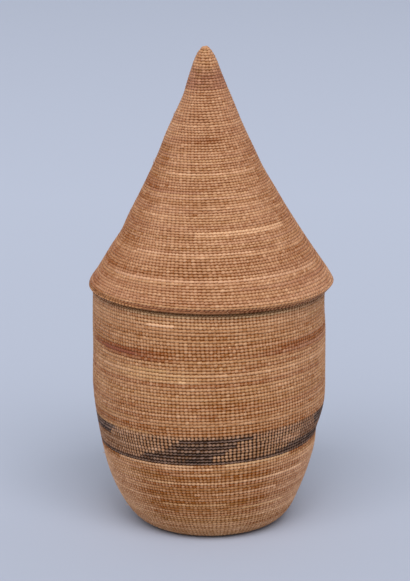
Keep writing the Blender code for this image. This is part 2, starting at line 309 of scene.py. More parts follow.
# %% The faces of one tube, and its two maps
# How far apart two tubes lie on the map along the fibre, the empty edge of a tube's strip as a
# share of the strip, and the width of the place for the tube's two ends
STRAND_SHIFT = 3.7
STRIP_EDGE = 0.04
CAP_WIDTH = 0.004


def enclosed(points, quads):
    """Six times the volume inside the faces: the sum of a.(b x c) + a.(c x d)."""
    a, b, c, d = (points[quads[:, k]] for k in range(4))
    return np.einsum("ij,ij->", a, np.cross(b, c)) + np.einsum("ij,ij->", a, np.cross(c, d))


def tube_faces(grid, closed, length, strip, count):
    """A tube's faces, its map along the fibre and its strip of the other map.

    A face joins each ring to the next. An open tube's ends are fans of faces from one corner.
    Faces that enclose less than nothing look inwards, so they are turned round.
    """
    rings, sides = grid.shape[:2]
    joins = rings if closed else rings - 1
    i, j = np.meshgrid(np.arange(joins), np.arange(sides), indexing="ij")
    ring = np.stack([i, i, i + 1, i + 1], -1).reshape(-1, 4)
    side = np.stack([j, j + 1, j + 1, j], -1).reshape(-1, 4)
    quads = ring % rings * sides + side % sides
    measured = np.append(length, 2 * length[-1] - length[-2])[ring]
    fibre = np.stack([measured, strip * STRAND_SHIFT + side / sides], -1)
    across = STRIP_EDGE + (1 - 2 * STRIP_EDGE) * side / sides
    own = np.stack([ring / rings, (strip + across) / count], -1)
    if not closed:
        fan = np.array([[0, k, k + 1, k + 2] for k in range(1, sides - 2, 2)])
        quads = np.concatenate([quads, fan[:, ::-1], fan + (rings - 1) * sides])
        cap = np.array([[0.0, 0.0], [CAP_WIDTH, 0.0], [CAP_WIDTH, 0.9], [0.0, 0.9]])
        cap = (cap + [0.0, strip + 0.05]) / [1.0, count]
        own = np.concatenate([own, [cap] * (2 * len(fan))])
        fibre = np.concatenate([fibre, [fibre[0]] * (2 * len(fan))])
    if enclosed(grid.reshape(-1, 3), quads) < 0:
        quads, fibre, own = quads[:, ::-1], fibre[:, ::-1], own[:, ::-1]
    return quads, fibre, own


# %% One mesh from many tubes
class Tubes:
    """Collects grids of points, with their values, and turns them into one piece."""

    def __init__(self):
        self.grids = []

    def add(self, points, closed, tone, hue=0.0, dye=0.0, length=None):
        """points is rings by sides by 3. A value is a number, one per ring or one per point."""
        sides, rings = points.shape[1::-1]
        values = [
            np.broadcast_to(np.transpose(value), (sides, rings)).T for value in (tone, hue, dye)
        ]
        if length is None:
            step = np.linalg.norm(np.diff(points.mean(1), axis=0), axis=1)
            length = np.concatenate([[0.0], np.cumsum(step)])
        self.grids.append((points, closed, np.stack(values), length * 100))

    def mesh(self, name):
        """One mesh with the values and both maps of every tube."""
        points, corners, values, fibre_map, strip_map, first = [], [], [], [], [], 0
        for strip, (grid, closed, value, length) in enumerate(self.grids):
            quads, fibre, own = tube_faces(grid, closed, length, strip, len(self.grids))
            points.append(grid.reshape(-1, 3))
            corners.append(first + quads)
            values.append(value.reshape(3, -1))
            fibre_map.append(fibre)
            strip_map.append(own)
            first += len(points[-1])
        mesh = mesh_from(name, np.concatenate(points), np.concatenate(corners))
        for kind, data in zip(("tone", "hue", "dye"), np.concatenate(values, axis=1)):
            mesh.attributes.new(kind, "FLOAT", "POINT").data.foreach_set("value", data.astype("f"))
        for kind, data in (("OFBake", strip_map), ("fibre", fibre_map)):
            layer = mesh.uv_layers.new(name=kind)
            layer.uv.foreach_set("vector", np.concatenate(data).ravel().astype("f"))
        return mesh

    def piece(self, name, material, body, slot, *nodes):
        """The finished piece: its finish, the body it moves with and the nodes it stands for."""
        mesh = self.mesh(name)
        mesh.materials.append(material)
        made = new_object(name, mesh)
        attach(made, body)
        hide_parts(*nodes)
        print(name, "tubes", len(self.grids), "triangles", 2 * len(mesh.polygons))
        return made


# %% [markdown]
# ## The finish of the fibre
# The natural strands are a dry grass or leaf fibre: tan, matt, with a faint silky streak along
# each strand, and no two strands quite alike. The dye of the band went on unevenly, so dyed
# strands run from black to a worn brownish grey. A photograph of fibre could be laid on, but
# it would repeat over thousands of strands. One tree of nodes makes the streaks from noise on
# the strand's own map, so that they bend with it, and takes the colour from its three values.

# %% Helpers for node trees
def link(tree, start, socket, end, place):
    """Join an output to an input."""
    tree.links.new(start.outputs[socket], end.inputs[place])


def node(tree, kind, **settings):
    """A new node with its properties set."""
    made = tree.nodes.new(kind)
    for name, value in settings.items():
        setattr(made, name, value)
    return made


def reading(tree, name):
    """A node that reads one of the mesh's own values."""
    return node(tree, "ShaderNodeAttribute", attribute_name=name, attribute_type="GEOMETRY")


def maths(tree, operation, first, second):
    """Arithmetic on two inputs, each a number or a pair of node and socket."""
    made = node(tree, "ShaderNodeMath", operation=operation)
    for place, value in enumerate((first, second)):
        if isinstance(value, tuple):
            link(tree, value[0], value[1], made, place)
        else:
            made.inputs[place].default_value = value
    return made, 0


def linear(colour):
    """The colour as light: a screen value of 0 to 255 to its share of light."""
    value = np.array(colour) / 255
    return np.where(value <= 0.04045, value / 12.92, ((value + 0.055) / 1.055) ** 2.4).tolist()


def blend_colours(tree, share, first, second):
    """Mix two colours, each a colour or a pair of node and socket, by a node's share."""
    made = node(tree, "ShaderNodeMix", data_type="RGBA", clamp_factor=True)
    link(tree, share[0], share[1], made, "Factor")
    for place, value in ((6, first), (7, second)):
        if len(value) == 2:
            link(tree, value[0], value[1], made, place)
        else:
            made.inputs[place].default_value = [*linear(value), 1.0]
    return made, 2


# %% A plain material, and noise to put on it
def plain_material(name, roughness, gloss=0.5):
    """A new material with its tree of nodes and its shader."""
    material = bpy.data.materials.new(name)
    material.use_nodes = True
    shader = material.node_tree.nodes["Principled BSDF"]
    shader.inputs["Roughness"].default_value = roughness
    shader.inputs["Specular IOR Level"].default_value = gloss
    return material, material.node_tree, shader


def noise_in_place(tree, scale):
    """Noise that is fixed to the piece, so it doesn't care which strand it falls on."""
    where = node(tree, "ShaderNodeTexCoord")
    made = node(tree, "ShaderNodeTexNoise")
    made.inputs["Scale"].default_value = scale
    made.inputs["Detail"].default_value = 2.0
    link(tree, where, "Object", made, "Vector")
    return made


def streaks(tree):
    """Noise on the strand's own map, drawn out along the strand."""
    own_map = node(tree, "ShaderNodeUVMap", uv_map="fibre")
    stretch = node(tree, "ShaderNodeMapping")
    stretch.inputs["Scale"].default_value = (2.2, 7.0, 1.0)
    link(tree, own_map, 0, stretch, 0)
    made = node(tree, "ShaderNodeTexNoise", noise_dimensions="2D")
    made.inputs["Scale"].default_value = 1.0
    made.inputs["Detail"].default_value = 3.0
    made.inputs["Roughness"].default_value = 0.65
    link(tree, stretch, 0, made, "Vector")
    return made


# %% One fibre finish for all strands
# How much the streaks, the broad clouds and the redness of the fibre count
STREAK_SHARE = 0.9
CLOUD_SHARE = 0.24
HUE_SHARE = 0.8


def fibre_finish(name, pale, deep, pink, straw, dyed_pale, dyed_deep, roughness=0.52):
    """Deep to pale by tone and streak, then towards pink or straw by hue, then the dye over it.

    Dyed fibre goes from deep to pale over a shorter span of tones.
    """
    material, tree, shader = plain_material(name, roughness, gloss=0.12)
    streak = streaks(tree)
    cloud = noise_in_place(tree, 55.0)
    tone, hue, dye = (reading(tree, value) for value in ("tone", "hue", "dye"))
    fine = maths(tree, "MULTIPLY", maths(tree, "SUBTRACT", (streak, 0), 0.5), STREAK_SHARE)
    soft = maths(tree, "MULTIPLY", maths(tree, "SUBTRACT", (cloud, 0), 0.5), CLOUD_SHARE)
    share = maths(tree, "ADD", (tone, "Fac"), maths(tree, "ADD", fine, soft))
    colour = blend_colours(tree, share, deep, pale)
    for direction, tinge in ((HUE_SHARE, pink), (-HUE_SHARE, straw)):
        much = maths(tree, "MULTIPLY", (hue, "Fac"), direction)
        colour = blend_colours(tree, much, colour, tinge)
    steeper = maths(tree, "SUBTRACT", maths(tree, "MULTIPLY", share, 2.0), 0.40)
    dark = blend_colours(tree, steeper, dyed_deep, dyed_pale)
    taken = maths(tree, "ADD", (dye, "Fac"), maths(tree, "MULTIPLY", fine, (dye, "Fac")))
    colour = blend_colours(tree, taken, colour, dark)
    link(tree, colour[0], colour[1], shader, "Base Color")

    bump = node(tree, "ShaderNodeBump")
    bump.inputs["Strength"].default_value = 0.35
    bump.inputs["Distance"].default_value = 0.0001
    link(tree, streak, 0, bump, "Height")
    link(tree, bump, 0, shader, "Normal")
    return material


# %% The finishes: tan, dyed, reddish, olive-grey, a browner one for the edge, and cane
TAN = dict(
    pale=(247, 196, 153), deep=(144, 75, 5), pink=(160, 98, 84), straw=(210, 166, 108),
    dyed_pale=(162, 128, 109), dyed_deep=(28, 18, 12),
)
natural = fibre_finish("tan_fibre", **TAN)
dyed = fibre_finish("dyed_fibre", **TAN)
reddish = fibre_finish("reddish_fibre", **{**TAN, "pale": (240, 180, 144), "deep": (124, 66, 30)})
OLIVE = {**TAN, "pale": (244, 200, 154), "deep": (126, 70, 18), "straw": (200, 168, 116)}
olive = fibre_finish("olive_fibre", **OLIVE)
EDGING = {**TAN, "pale": (236, 172, 118), "deep": (110, 54, 8), "straw": (178, 154, 118)}
edging = fibre_finish("edge_fibre", **EDGING)
CANE = {**TAN, "pale": (226, 181, 130), "deep": (150, 104, 62)}
cane = fibre_finish("cane_strip", **CANE, roughness=0.5)
print("finishes:", [finish.name for finish in (natural, dyed, reddish, olive, edging, cane)])

# %% [markdown]
# ## Where the stakes stand
# As the basket widens, the maker slips in new stakes so that they stay about two millimetres
# apart. An Array modifier round a circle would keep one number of stakes all the way up, and
# the stitches would shrink to nothing near the tip. So the plan below goes row by row: where
# the round has grown, new stakes go into the widest gaps, and then all of them ease towards
# even spacing. The twist of the weft also pulls the stakes a little out of plumb, so the
# columns lean.

# %% Where the rows lie
def row_stations(start, end, first_pitch, last_pitch):
    """Middles and pitches of rows that fill start to end, the pitch changing evenly."""
    count = int(round(abs(end - start) / ((first_pitch + last_pitch) / 2)))
    share = (np.arange(count) + 0.5) / count
    even = 2 * first_pitch / (first_pitch + last_pitch)
    stations = start + (end - start) * (even * share + (1 - even) * share**2)
    pitches = abs(end - start) / count * (even + 2 * (1 - even) * share)
    return stations, pitches


def rows_with_stakes(stations, pitches, radii, plan):
    """For each row its station, pitch and radius, and the angles of its stakes."""
    return [
        (station, pitch, radius, angles)
        for station, pitch, radius, (_, angles) in zip(stations, pitches, radii, plan)
    ]


# %% Plan the stakes
# The leans are how far a column moves round in each row, as a share of the row's pitch. Nearer
# the axis than NO_STEEPER, in metres, the lean gets no steeper.
STAKE_SPACING = 0.0019
FEWEST_STAKES = 8
STAKE_JITTER = 0.14
EASINGS = 2
BODY_LEAN = -0.08
LID_LEAN = 0.16
NO_STEEPER = 0.010


def plan_stakes(radii, pitches, spacings, lean, seed):
    """Each row's stake numbers and angles, in order round the basket."""
    rng = np.random.default_rng(seed)
    count = max(FEWEST_STAKES, 2 * int(round(np.pi * radii[0] / spacings[0])))
    angles = np.arange(count) * TURN / count
    numbers = np.arange(count)
    plan = []
    for radius, pitch, spacing in zip(radii, pitches, spacings):
        angles = angles + rng.normal(0, STAKE_JITTER * TURN / len(angles), len(angles))
        missing = max(0, 2 * int(round(np.pi * radius / spacing)) - len(angles))
        gaps = np.diff(np.append(angles, angles[0] + TURN))
        widest = np.sort(np.argsort(gaps * rng.uniform(0.9, 1.1, len(gaps)))[len(gaps) - missing:])
        added = angles[widest] + gaps[widest] / 2
        angles = np.insert(angles, widest + 1, added)
        numbers = np.insert(numbers, widest + 1, len(numbers) + np.arange(missing))
        for _ in range(EASINGS):
            before = np.append(angles[-1] - TURN, angles[:-1])
            after = np.append(angles[1:], angles[0] + TURN)
            angles = angles + 0.5 * ((before + after) / 2 - angles)
        angles = angles + lean * pitch / max(radius, NO_STEEPER)
        plan.append((numbers, angles))
    return plan


def stake_table(plan):
    """Rows by stakes: the angle of each stake at each row, blank before it begins."""
    table = np.full((len(plan), len(plan[-1][0])), np.nan)
    for row, (numbers, angles) in enumerate(plan):
        table[row, numbers] = angles
    return table


# %% [markdown]
# ## A row of twining
# Two strands make one row. A pattern of stitches could be pressed into a smooth wall by a
# Displace modifier, but a strand that goes behind a stake can't come out of a flat pattern. So
# each strand is worked out as the hand lays it. Counting the stakes round the row, its place
# is a twist: its distance out of the wall follows the cosine of half a turn per stake, and its
# height in the row follows the sine, so it lies in front of one stake, dives as it climbs and
# passes behind the next. The other strand does the same one stake later.

# %% How a strand runs
# CREST_STEPS: where the rings of a stitch stand, in stakes from the middle of its crest. WRAP:
# the smaller, the flatter a strand lies over its stake. CLIMB: its rise as a share of the
# row's pitch. FORWARD: how far out of the middle of the wall two strands cross, as a share of
# half the wall.
CREST_STEPS = np.array([-0.38, -0.13, 0.13, 0.38, 0.75, 1.25])
WRAP = 0.62
CLIMB = 0.055
FORWARD = 0.20

# %% [markdown]
# ## The section of a strand
# A round section would be simpler, but soft fibre presses flat. So it is a flattened oval that
# leans with the strand, which gives the stitches their slant. It is tallest over a stake and
# pinched where the strand dives, more so in a thin strand than in a plump one, so some rows
# show dark dots and others run as smooth ribs. On the real basket the rows lie tighter near
# the foot and round the two sides, where hands have rubbed them flat, so the strands are
# taller there.

# %% How thick and how tall it is
# THICK: half its thickness in metres. The rest are shares of the row's pitch: its half height
# over a stake, what tight places add to that, its half height where it dives and what a plump
# strand adds to that. FULLER: a ring of five corners lies inside its oval, so the oval is
# drawn a tenth larger.
SIDES = 5
THICK = 0.00042
TALL = 0.475
TIGHTER = 0.20
PINCHED = 0.14
PLUMPER = 0.16
FULLER = 1.1
CORNER = np.arange(SIDES) * TURN / SIDES
CREASE = np.abs(np.sin(CORNER))
print("triangles in a stitch:", 2 * SIDES * len(CREST_STEPS))

# %% What changes by chance, or from front to side
# How much a strand's half height and its place in the row drift, and how much each stitch's
# half height and distance out vary
HEIGHT_DRIFT = 0.10
PLACE_DRIFT = 0.045
HEIGHT_CHANCE = 0.05
OUT_CHANCE = 0.03


def at_side(angle):
    """0 at the front and the back, 1 round the two sides: a cosine squared, cut off."""
    return np.minimum(1.6 * np.cos(angle) ** 2, 1.0)


def wander(rng, angle, waves=9):
    """A smooth value round the basket, about -1 to 1: a few sines of random phase."""
    turns = np.arange(1, waves + 1)[:, None]
    phase = rng.uniform(0, TURN, (waves, 1))
    size = rng.normal(0, 1, (waves, 1)) / np.sqrt(turns)
    return (size * np.sin(turns * angle + phase)).sum(0) / np.sqrt((size**2).sum() + 1e-9)


USUAL_TONE = 0.58


def lengths_of_fibre(rng, angle, spread=0.048, red=0.09):
    """Pale and red values that change where one length of fibre ends and the next begins."""
    count = rng.integers(3, 7)
    ends = np.sort(rng.uniform(0, TURN, count))
    which = np.searchsorted(ends, angle % TURN) % count
    tone = USUAL_TONE + rng.normal(0, spread, count)[which]
    return tone, rng.normal(0, red, count)[which]


def per_stitch(rng, spread, stitches):
    """A chance value for each stitch, the same at all its steps."""
    return np.repeat(rng.normal(0, spread, stitches), len(CREST_STEPS))


def squarer(wave, power):
    """A cosine or sine with its sign kept and its size raised to a power below 1."""
    return np.sign(wave) * np.abs(wave) ** power


# %% One strand of a row
def strand(place, radius, station, pitch, angles, first, rng, half_wall, plump, packed):
    """Grid of one strand: out = cos(half a turn per stake), up = sin of the same.

    A plump strand keeps its height between the stakes, a thin one is pinched there. The
    two cross a little nearer the outer face than the inner one. Packed rows have taller strands.
    """
    count = len(angles)
    at = (np.arange(first, count, 2)[:, None] + CREST_STEPS).ravel()
    known = np.concatenate([angles[-2:] - TURN, angles, angles[:2] + TURN])
    angle = np.interp(at, np.arange(-2, count + 2), known)
    swing = np.pi * (at - first)
    out = squarer(np.cos(swing), WRAP)
    spacing = TURN * radius / count
    snug = min(1.0, spacing / STAKE_SPACING + 0.1)
    thick = THICK * half_wall / (WALL / 2) * snug
    full = 1 + HEIGHT_DRIFT * wander(rng, angle) + per_stitch(rng, HEIGHT_CHANCE, count // 2)
    outward = (half_wall - thick) * out * (1 + per_stitch(rng, OUT_CHANCE, count // 2))
    outward = outward + FORWARD * half_wall * (1 - out**2)
    upward = CLIMB * pitch * np.sin(swing) + PLACE_DRIFT * pitch * wander(rng, angle, 14)
    run = np.roll(at, -1) - np.roll(at, 1)
    run[[0, -1]] += count
    lean_out = np.arctan2(np.roll(outward, -1) - np.roll(outward, 1), run * spacing)
    lean_up = np.arctan2(np.roll(upward, -1) - np.roll(upward, 1), run * spacing)
    pinched = PINCHED + PLUMPER * plump
    crest = TALL + TIGHTER * np.maximum(at_side(angle), packed)
    tall = pitch * full * (pinched + (crest - pinched) * np.abs(out))
    across = tall[:, None] * np.sin(CORNER) * FULLER
    through = thick * np.cos(CORNER)[None, :] * FULLER
    back = -through * np.sin(lean_out)[:, None] - across * np.sin(lean_up)[:, None]
    along = station + upward[:, None] + across * np.cos(lean_up)[:, None]
    depth = half_wall - outward[:, None] - through * np.cos(lean_out)[:, None]
    points = place(along, depth, angle[:, None] + back / radius)
    return points, angle, out


# %% [markdown]
# ## The pattern in the dark band
# The band is worked with one natural strand and one dyed strand. Where the natural one lies in
# front, the dyed one shows only in the hollows, which gives pale beads with dark dots. Where
# two dyed strands are used, it is solid black. The maker changed over from row to row, which
# makes slanting blocks. A painted picture of the band would blur across the strands, so the dye
# is a value along each strand, set by a list of blocks. The back can't be seen in the
# photograph, so its blocks repeat the same kind.

# %% Blocks of the band
# A block has its first and last row, counted from the bottom, its two ends in degrees to the
# right of the middle of the front, how far they shift with each row, and the shares of dye on
# the crests and in the hollows. Later blocks lie over earlier ones.
SOLID = (1.0, 1.0)
WORN = (0.74, 1.0)
SPECKLED = (0.13, 1.0)
BROWN = (0.26, 0.78)
PLAIN = (0.0, 0.12)
BAND_BLOCKS = (
    (0, 8, -180, 180, 0.0, SPECKLED),
    (1, 5, -84, -50, -2.0, BROWN),
    (1, 4, -50, -36, -3.0, (0.20, 0.90)),
    (0, 0, -84, -46, 0.0, (0.85, 1.0)),
    (0, 0, -46, 46, 0.0, (0.86, 1.0)),
    (0, 0, -12, 2, 0.0, SOLID),
    (1, 1, -38, -12, 0.0, WORN),
    (1, 1, -12, 1, 0.0, SOLID),
    (1, 1, 30, 44, 0.0, WORN),
    (2, 2, -35, -18, 0.0, SOLID),
    (2, 2, -18, -8, 0.0, WORN),
    (2, 2, -8, 2, 0.0, SOLID),
    (3, 3, -28, -18, 0.0, WORN),
    (3, 3, -18, 7, 0.0, SOLID),
    (4, 6, -22, 10, 2.0, WORN),
    (5, 5, -16, 13, 0.0, SOLID),
    (1, 6, 3, 36, 3.0, (0.18, 1.0)),
    (4, 5, 40, 52, 0.0, (0.10, 0.60)),
    (0, 0, 46, 78, 0.0, WORN),
    (1, 2, 42, 78, 2.0, (0.88, 1.0)),
    (3, 4, 50, 78, 3.0, (0.46, 0.85)),
    (4, 8, 52, 69, 0.0, (0.38, 0.90)),
    (6, 8, -88, -60, 3.0, SOLID),
    (7, 7, -15, 22, 0.0, SOLID),
    (8, 8, -6, 24, 0.0, (0.30, 0.90)),
    (8, 8, -52, -12, 0.0, (0.12, 0.75)),
    (5, 8, 67, 96, -1.0, SOLID),
    (2, 8, -104, -84, 1.0, SOLID),
    (0, 2, 78, 112, 3.0, WORN),
    (2, 6, 104, 132, 3.0, PLAIN),
    (4, 8, 136, 158, 2.0, SOLID),
    (0, 3, 146, 176, 2.0, SOLID),
    (1, 5, -178, -152, 3.0, BROWN),
    (6, 8, -170, -140, -2.0, SOLID),
    (0, 2, -146, -112, 2.0, SOLID),
    (3, 6, -140, -118, 3.0, PLAIN),
)
print("blocks of dye in the band:", len(BAND_BLOCKS))

# %% The dye along a strand of the band
def dye_in_band(row, angle, out):
    """The share of dye along a strand of a band row, and the share on its crests."""
    degrees = degrees_right(angle)
    crest, hollow = 0 * degrees, 0 * degrees
    for low, high, start, end, shift, (on_crest, in_hollow) in BAND_BLOCKS:
        if low <= row <= high:
            start, end = start + shift * (row - low), end + shift * (row - low)
            inside = (degrees >= start) & (degrees < end)
            crest = np.where(inside, on_crest, crest)
            hollow = np.where(inside, in_hollow, hollow)
    hidden = np.clip(2 * (1 - out), 0, 1)
    return crest + (hollow - crest) * hidden, crest


# %% [markdown]
# ## Single strands that differ, and painted light and shade
# Here and there a whole stretch of a row is redder, paler or greyer than its neighbours,
# because that fibre was. Chance alone would give this everywhere alike. So the plainest of
# them are placed by the height at which their row passes the middle of the front, and by
# angle, and chance does the rest. The same list holds broad stretches of painted light and
# shade: the lower wall darker in front and paler round the sides, the rows right under the
# lid's edge paler against its shadow, and the lid darker round its two sides.

# %% Stretches of other fibre, and of painted light and shade
# The lid's edge and the body's rim have one row each, so there any height will do
ODD_FIBRE_AND_PAINTED_LIGHT = (
    # outline, height, half height, from, to in degrees, tone, red
    ("edge", 0.0, 1.0, -120, -44, 0.04, -0.5),
    ("edge", 0.0, 1.0, 20, 120, 0.24, -0.3),
    ("rim", 0.0, 1.0, -36, -2, 0.04, -0.3),
    ("rim", 0.0, 1.0, 16, 52, 0.04, -0.3),
    ("body", 0.1190, 0.0009, -31, -17, 0.55, 0.1),
    ("body", 0.1036, 0.0009, -60, -38, -0.26, 0.2),
    ("body", 0.0900, 0.0250, 50, 125, 0.03, 0.0),
    ("body", 0.0080, 0.0085, -70, 70, 0.10, -0.1),
    ("body", 0.1024, 0.0026, -66, -22, -0.24, 0.44),
    ("body", 0.1000, 0.0010, -14, 30, -0.16, 0.1),
    ("body", 0.1035, 0.0036, 30, 82, -0.10, 0.25),
    ("body", 0.0905, 0.0009, -14, -11, 0.50, -0.2),
    ("body", 0.0940, 0.0022, -44, -4, 0.08, -0.3),
    ("body", 0.0457, 0.0009, -54, -8, 0.34, -0.1),
    ("body", 0.0457, 0.0009, 8, 46, 0.40, -0.4),
    ("body", 0.0440, 0.0009, -24, 2, 0.20, 0.1),
    # painted light: rows right under the lid's edge, paler against its shadow
    ("body", 0.1215, 0.0035, -80, 80, 0.14, -0.1),
    # painted shade in front and painted light round the sides of the lower wall
    ("body", 0.0270, 0.0160, -40, 34, -0.16, 0.0),
    ("body", 0.0270, 0.0160, -125, -38, 0.15, 0.0),
    ("body", 0.0270, 0.0160, 30, 125, 0.12, 0.1),
    ("body", 0.0270, 0.0160, -125, -66, 0.14, 0.0),
    ("body", 0.0270, 0.0160, 60, 125, 0.14, 0.0),
    ("body", 0.0405, 0.0009, -20, 6, 0.26, 0.0),
    ("body", 0.0350, 0.0009, -36, 60, 0.30, -0.1),
    ("body", 0.0295, 0.0009, -8, 40, 0.26, 0.0),
    ("body", 0.0230, 0.0009, -28, 10, 0.24, -0.1),
    ("body", 0.0195, 0.0009, 20, 50, 0.24, -0.2),
    ("lid", 0.2450, 0.0045, -200, 200, 0.02, -0.1),
    ("lid", 0.2376, 0.0026, -200, 200, -0.06, -0.2),
    ("lid", 0.2321, 0.0028, -200, 200, -0.16, -0.1),
    # painted shade: the lid darker round its two sides
    ("lid", 0.1700, 0.0330, -120, -50, -0.18, -0.05),
    ("lid", 0.1700, 0.0330, 48, 120, -0.14, -0.05),
    ("lid", 0.1285, 0.0022, -70, 70, -0.14, -0.2),
    ("lid", 0.1310, 0.0040, -100, -64, -0.20, 0.1),
    ("lid", 0.2050, 0.0009, -60, 20, -0.14, 0.1),
    ("lid", 0.1900, 0.0008, -50, 60, 0.26, 0.0),
    ("lid", 0.1785, 0.0008, -60, 40, 0.22, 0.1),
    ("lid", 0.1620, 0.0009, -10, 60, 0.32, -0.1),
    ("lid", 0.1530, 0.0009, -50, 25, 0.28, 0.1),
    ("lid", 0.1410, 0.0009, -62, 70, 0.26, 0.2),
)
print("stretches of other fibre:", len(ODD_FIBRE_AND_PAINTED_LIGHT))

# %% What the stretches add to a strand
# A stretch with more than this half height, in metres, is broad. Its ends fade over more
# degrees, and they shift by some degrees from row to row.
BROAD = 0.0015
BROAD_FADE = 20
BROAD_SHIFT = 6
NARROW_FADE = 0.5


def odd_fibre_and_painted_light(outline, station, angle):
    """What the stretches add to the tone and the red of a strand of this row.

    The ends of a broad stretch shift from row to row by a sine of the distance.
    """
    degrees = degrees_right(angle)
    tone, red = 0 * degrees, 0 * degrees
    curve = {"body": BODY, "lid": LID}.get(outline)
    height = outline_point(curve, station, 0.0)[1] if curve else 0.0
    for on, middle, half, start, end, paler, redder in ODD_FIBRE_AND_PAINTED_LIGHT:
        if on != outline or abs(height - middle) > half:
            continue
        broad = half > BROAD
        shift = BROAD_SHIFT * np.sin(12000 * station) if broad else 0
        fade = BROAD_FADE if broad else NARROW_FADE
        inside = np.clip((degrees - start - shift) / fade + 0.5, 0, 1)
        inside = inside * np.clip((end + shift - degrees) / fade + 0.5, 0, 1)
        tone = tone + paler * inside
        red = red + redder * inside
    return tone, red


# %% [markdown]
# ## Weaving a run of rows
# Row after row, two strands go round the stakes. The hollows between the stitches get painted
# shade, less in a plump row than in a thin one and more round the two sides. Round the two sides
# the fibre is also painted darker, as shade, and redder, as painted sheen. An Ambient Occlusion
# node could darken the hollows, but it knows nothing of how plump a strand is. So the painted
# shade is worked out with the strand, from how far it has dived.

# %% Colour of a strand
# How plump a strand gets, the painted shade that a thin one holds in its hollows, how much deeper
# that painted shade is at the sides, how much darker the fibre is painted there as shade, and how
# much redder it is painted there as sheen
PLUMPEST = 1.2
DARKEST_HOLLOW_SHADE = 1.3
SIDE_HOLLOW_SHADE = 0.4
SIDE_SHADE = 0.03
SIDE_SHEEN_RED = 0.16
# The painted shade along a strand's two edges, how much less of it where rows lie tight, how much
# more where dye was taken and in a solid block, and how much darker, as painted shade, that block
# is at the side
EDGE_SHADE = 0.20
TIGHT_EDGE = 0.12
DYED_EDGE = 0.35
SOLID_EDGE = 0.20
SOLID_SIDE_SHADE = 0.10
# What changes by chance in each strand and in each stitch
STRAND_CHANCE = 0.03
STITCH_CHANCE = 0.06


def hollow_shade(plump, more_tone):
    """Painted shade in the hollows of a strand, less in a plump one and in a pale stretch."""
    return np.maximum(DARKEST_HOLLOW_SHADE - plump - 2 * np.maximum(more_tone, 0), 0.1)


def edge_shade(angle, packed, taken, solid):
    """Painted shade: how much darker each point is towards the strand's edges, more so where it is
    dyed.
    """
    shade = EDGE_SHADE - TIGHT_EDGE * np.maximum(at_side(angle), packed)
    shade = shade + DYED_EDGE * taken + SOLID_EDGE * solid
    return shade[:, None] * CREASE


# %% Weave a run of rows into a set of tubes
def weave(
    tubes, outline, place, rows, seed, dye=None, half_wall=WALL / 2, tint=0.0, red=0.0,
    dip=0.46, packed=0.0,
):
    """rows is a list of (station, pitch, radius, angles). Adds two strands a row.

    Tint and red shift the whole run's colour. Dip is how much painted shade falls where the strand
    dives, which shows most in thin strands, and packed is how close the rows lie, 0 to 1.
    """
    for number, (station, pitch, radius, angles) in enumerate(rows):
        rng = np.random.default_rng([seed, number])
        for first in (0, 1):
            shared = np.random.default_rng([seed, number, 5])
            plump = PLUMPEST * shared.uniform(0, 1) ** 2
            points, angle, out = strand(
                place, radius, station, pitch, angles, first, rng, half_wall, plump, packed
            )
            tone, hue = lengths_of_fibre(shared, angle)
            more_tone, more_hue = odd_fibre_and_painted_light(outline, station, angle)
            taken, solid = dye(number, angle, out) if dye else (0 * angle, 0 * angle)
            # Painted shade in the hollows where the strand dives, deeper round the two sides
            hollow = (1 - np.abs(out)) * hollow_shade(plump, more_tone) * (1 - 0.9 * solid)
            tone = tone + more_tone + tint - dip * (1 + SIDE_HOLLOW_SHADE * at_side(angle)) * hollow
            # Painted shade round the two sides, more on a solid dyed block
            tone = tone - (SIDE_SHADE + SOLID_SIDE_SHADE * solid) * at_side(angle)
            tone = tone + rng.normal(0, STRAND_CHANCE)
            tone = tone + per_stitch(rng, STITCH_CHANCE, len(angle) // len(CREST_STEPS))
            # Painted shade along the strand's two edges
            tone = tone[:, None] - edge_shade(angle, packed, taken, solid)
            # Painted sheen: a redder tint round the two sides
            hue = hue + more_hue + red + SIDE_SHEEN_RED * at_side(angle)
            tubes.add(points, True, tone, hue, taken, angle * radius)


# %% [markdown]
# ## The stakes in the wall
# A stake is a flat splint that shows only as a glimpse between the stitches. It could be left
# out, but then light would fall through the wall there. Each one is a tube with four corners
# that follows its own column of the plan from the row where it begins.
# Its tone is set low, as painted shade, because it is seen only deep between the stitches.

# %% Lay the stakes
# Half a stake's width and thickness, how deep it lies as a share of half the wall, the most
# that half its width takes of its room, and the smallest round that the room is measured on
STAKE_HALF_WIDTH = 0.00110
STAKE_HALF_THICK = 0.00026
STAKE_DEPTH = 0.75
STAKE_ROOM = 0.49
STAKE_ROUND = 0.002


def stakes(tubes, place, stations, plan, seed, ends, half_wall=WALL / 2, dyes=None):
    """Flat splints along the stations, one tube each, from where each one begins.

    Ends is how far the first and the last place move. No stake is wider than its room, and
    one that begins only in the last row is left out, because it would have no length.
    """
    rng = np.random.default_rng(seed)
    table = stake_table(plan)
    dyes = 0 * stations if dyes is None else dyes
    corner_in = np.array([-1, 1, 1, -1]) * STAKE_HALF_THICK * half_wall / (WALL / 2)
    corner_round = np.array([-1, -1, 1, 1])
    beside = TURN / (~np.isnan(table)).sum(1)
    for angle in table.T:
        known = np.flatnonzero(~np.isnan(angle))
        if len(known) < 2:
            continue
        at = stations[known].copy()
        turn = angle[known][:, None]
        at[0] += ends[0]
        at[-1] += ends[1]
        middle = place(at, half_wall, angle[known])
        radius = np.maximum(np.linalg.norm(middle[:, :2], axis=1), STAKE_ROUND)
        half_width = np.minimum(STAKE_HALF_WIDTH / radius, STAKE_ROOM * beside[known])
        widths = half_width[:, None] * corner_round
        points = place(at[:, None], half_wall * STAKE_DEPTH + corner_in[None, :], turn + widths)
        # Painted shade: a low tone for a stake that is seen only deep in the hollows
        tubes.add(points, False, rng.normal(-0.05, 0.08), rng.normal(0.0, 0.1), dyes[known])


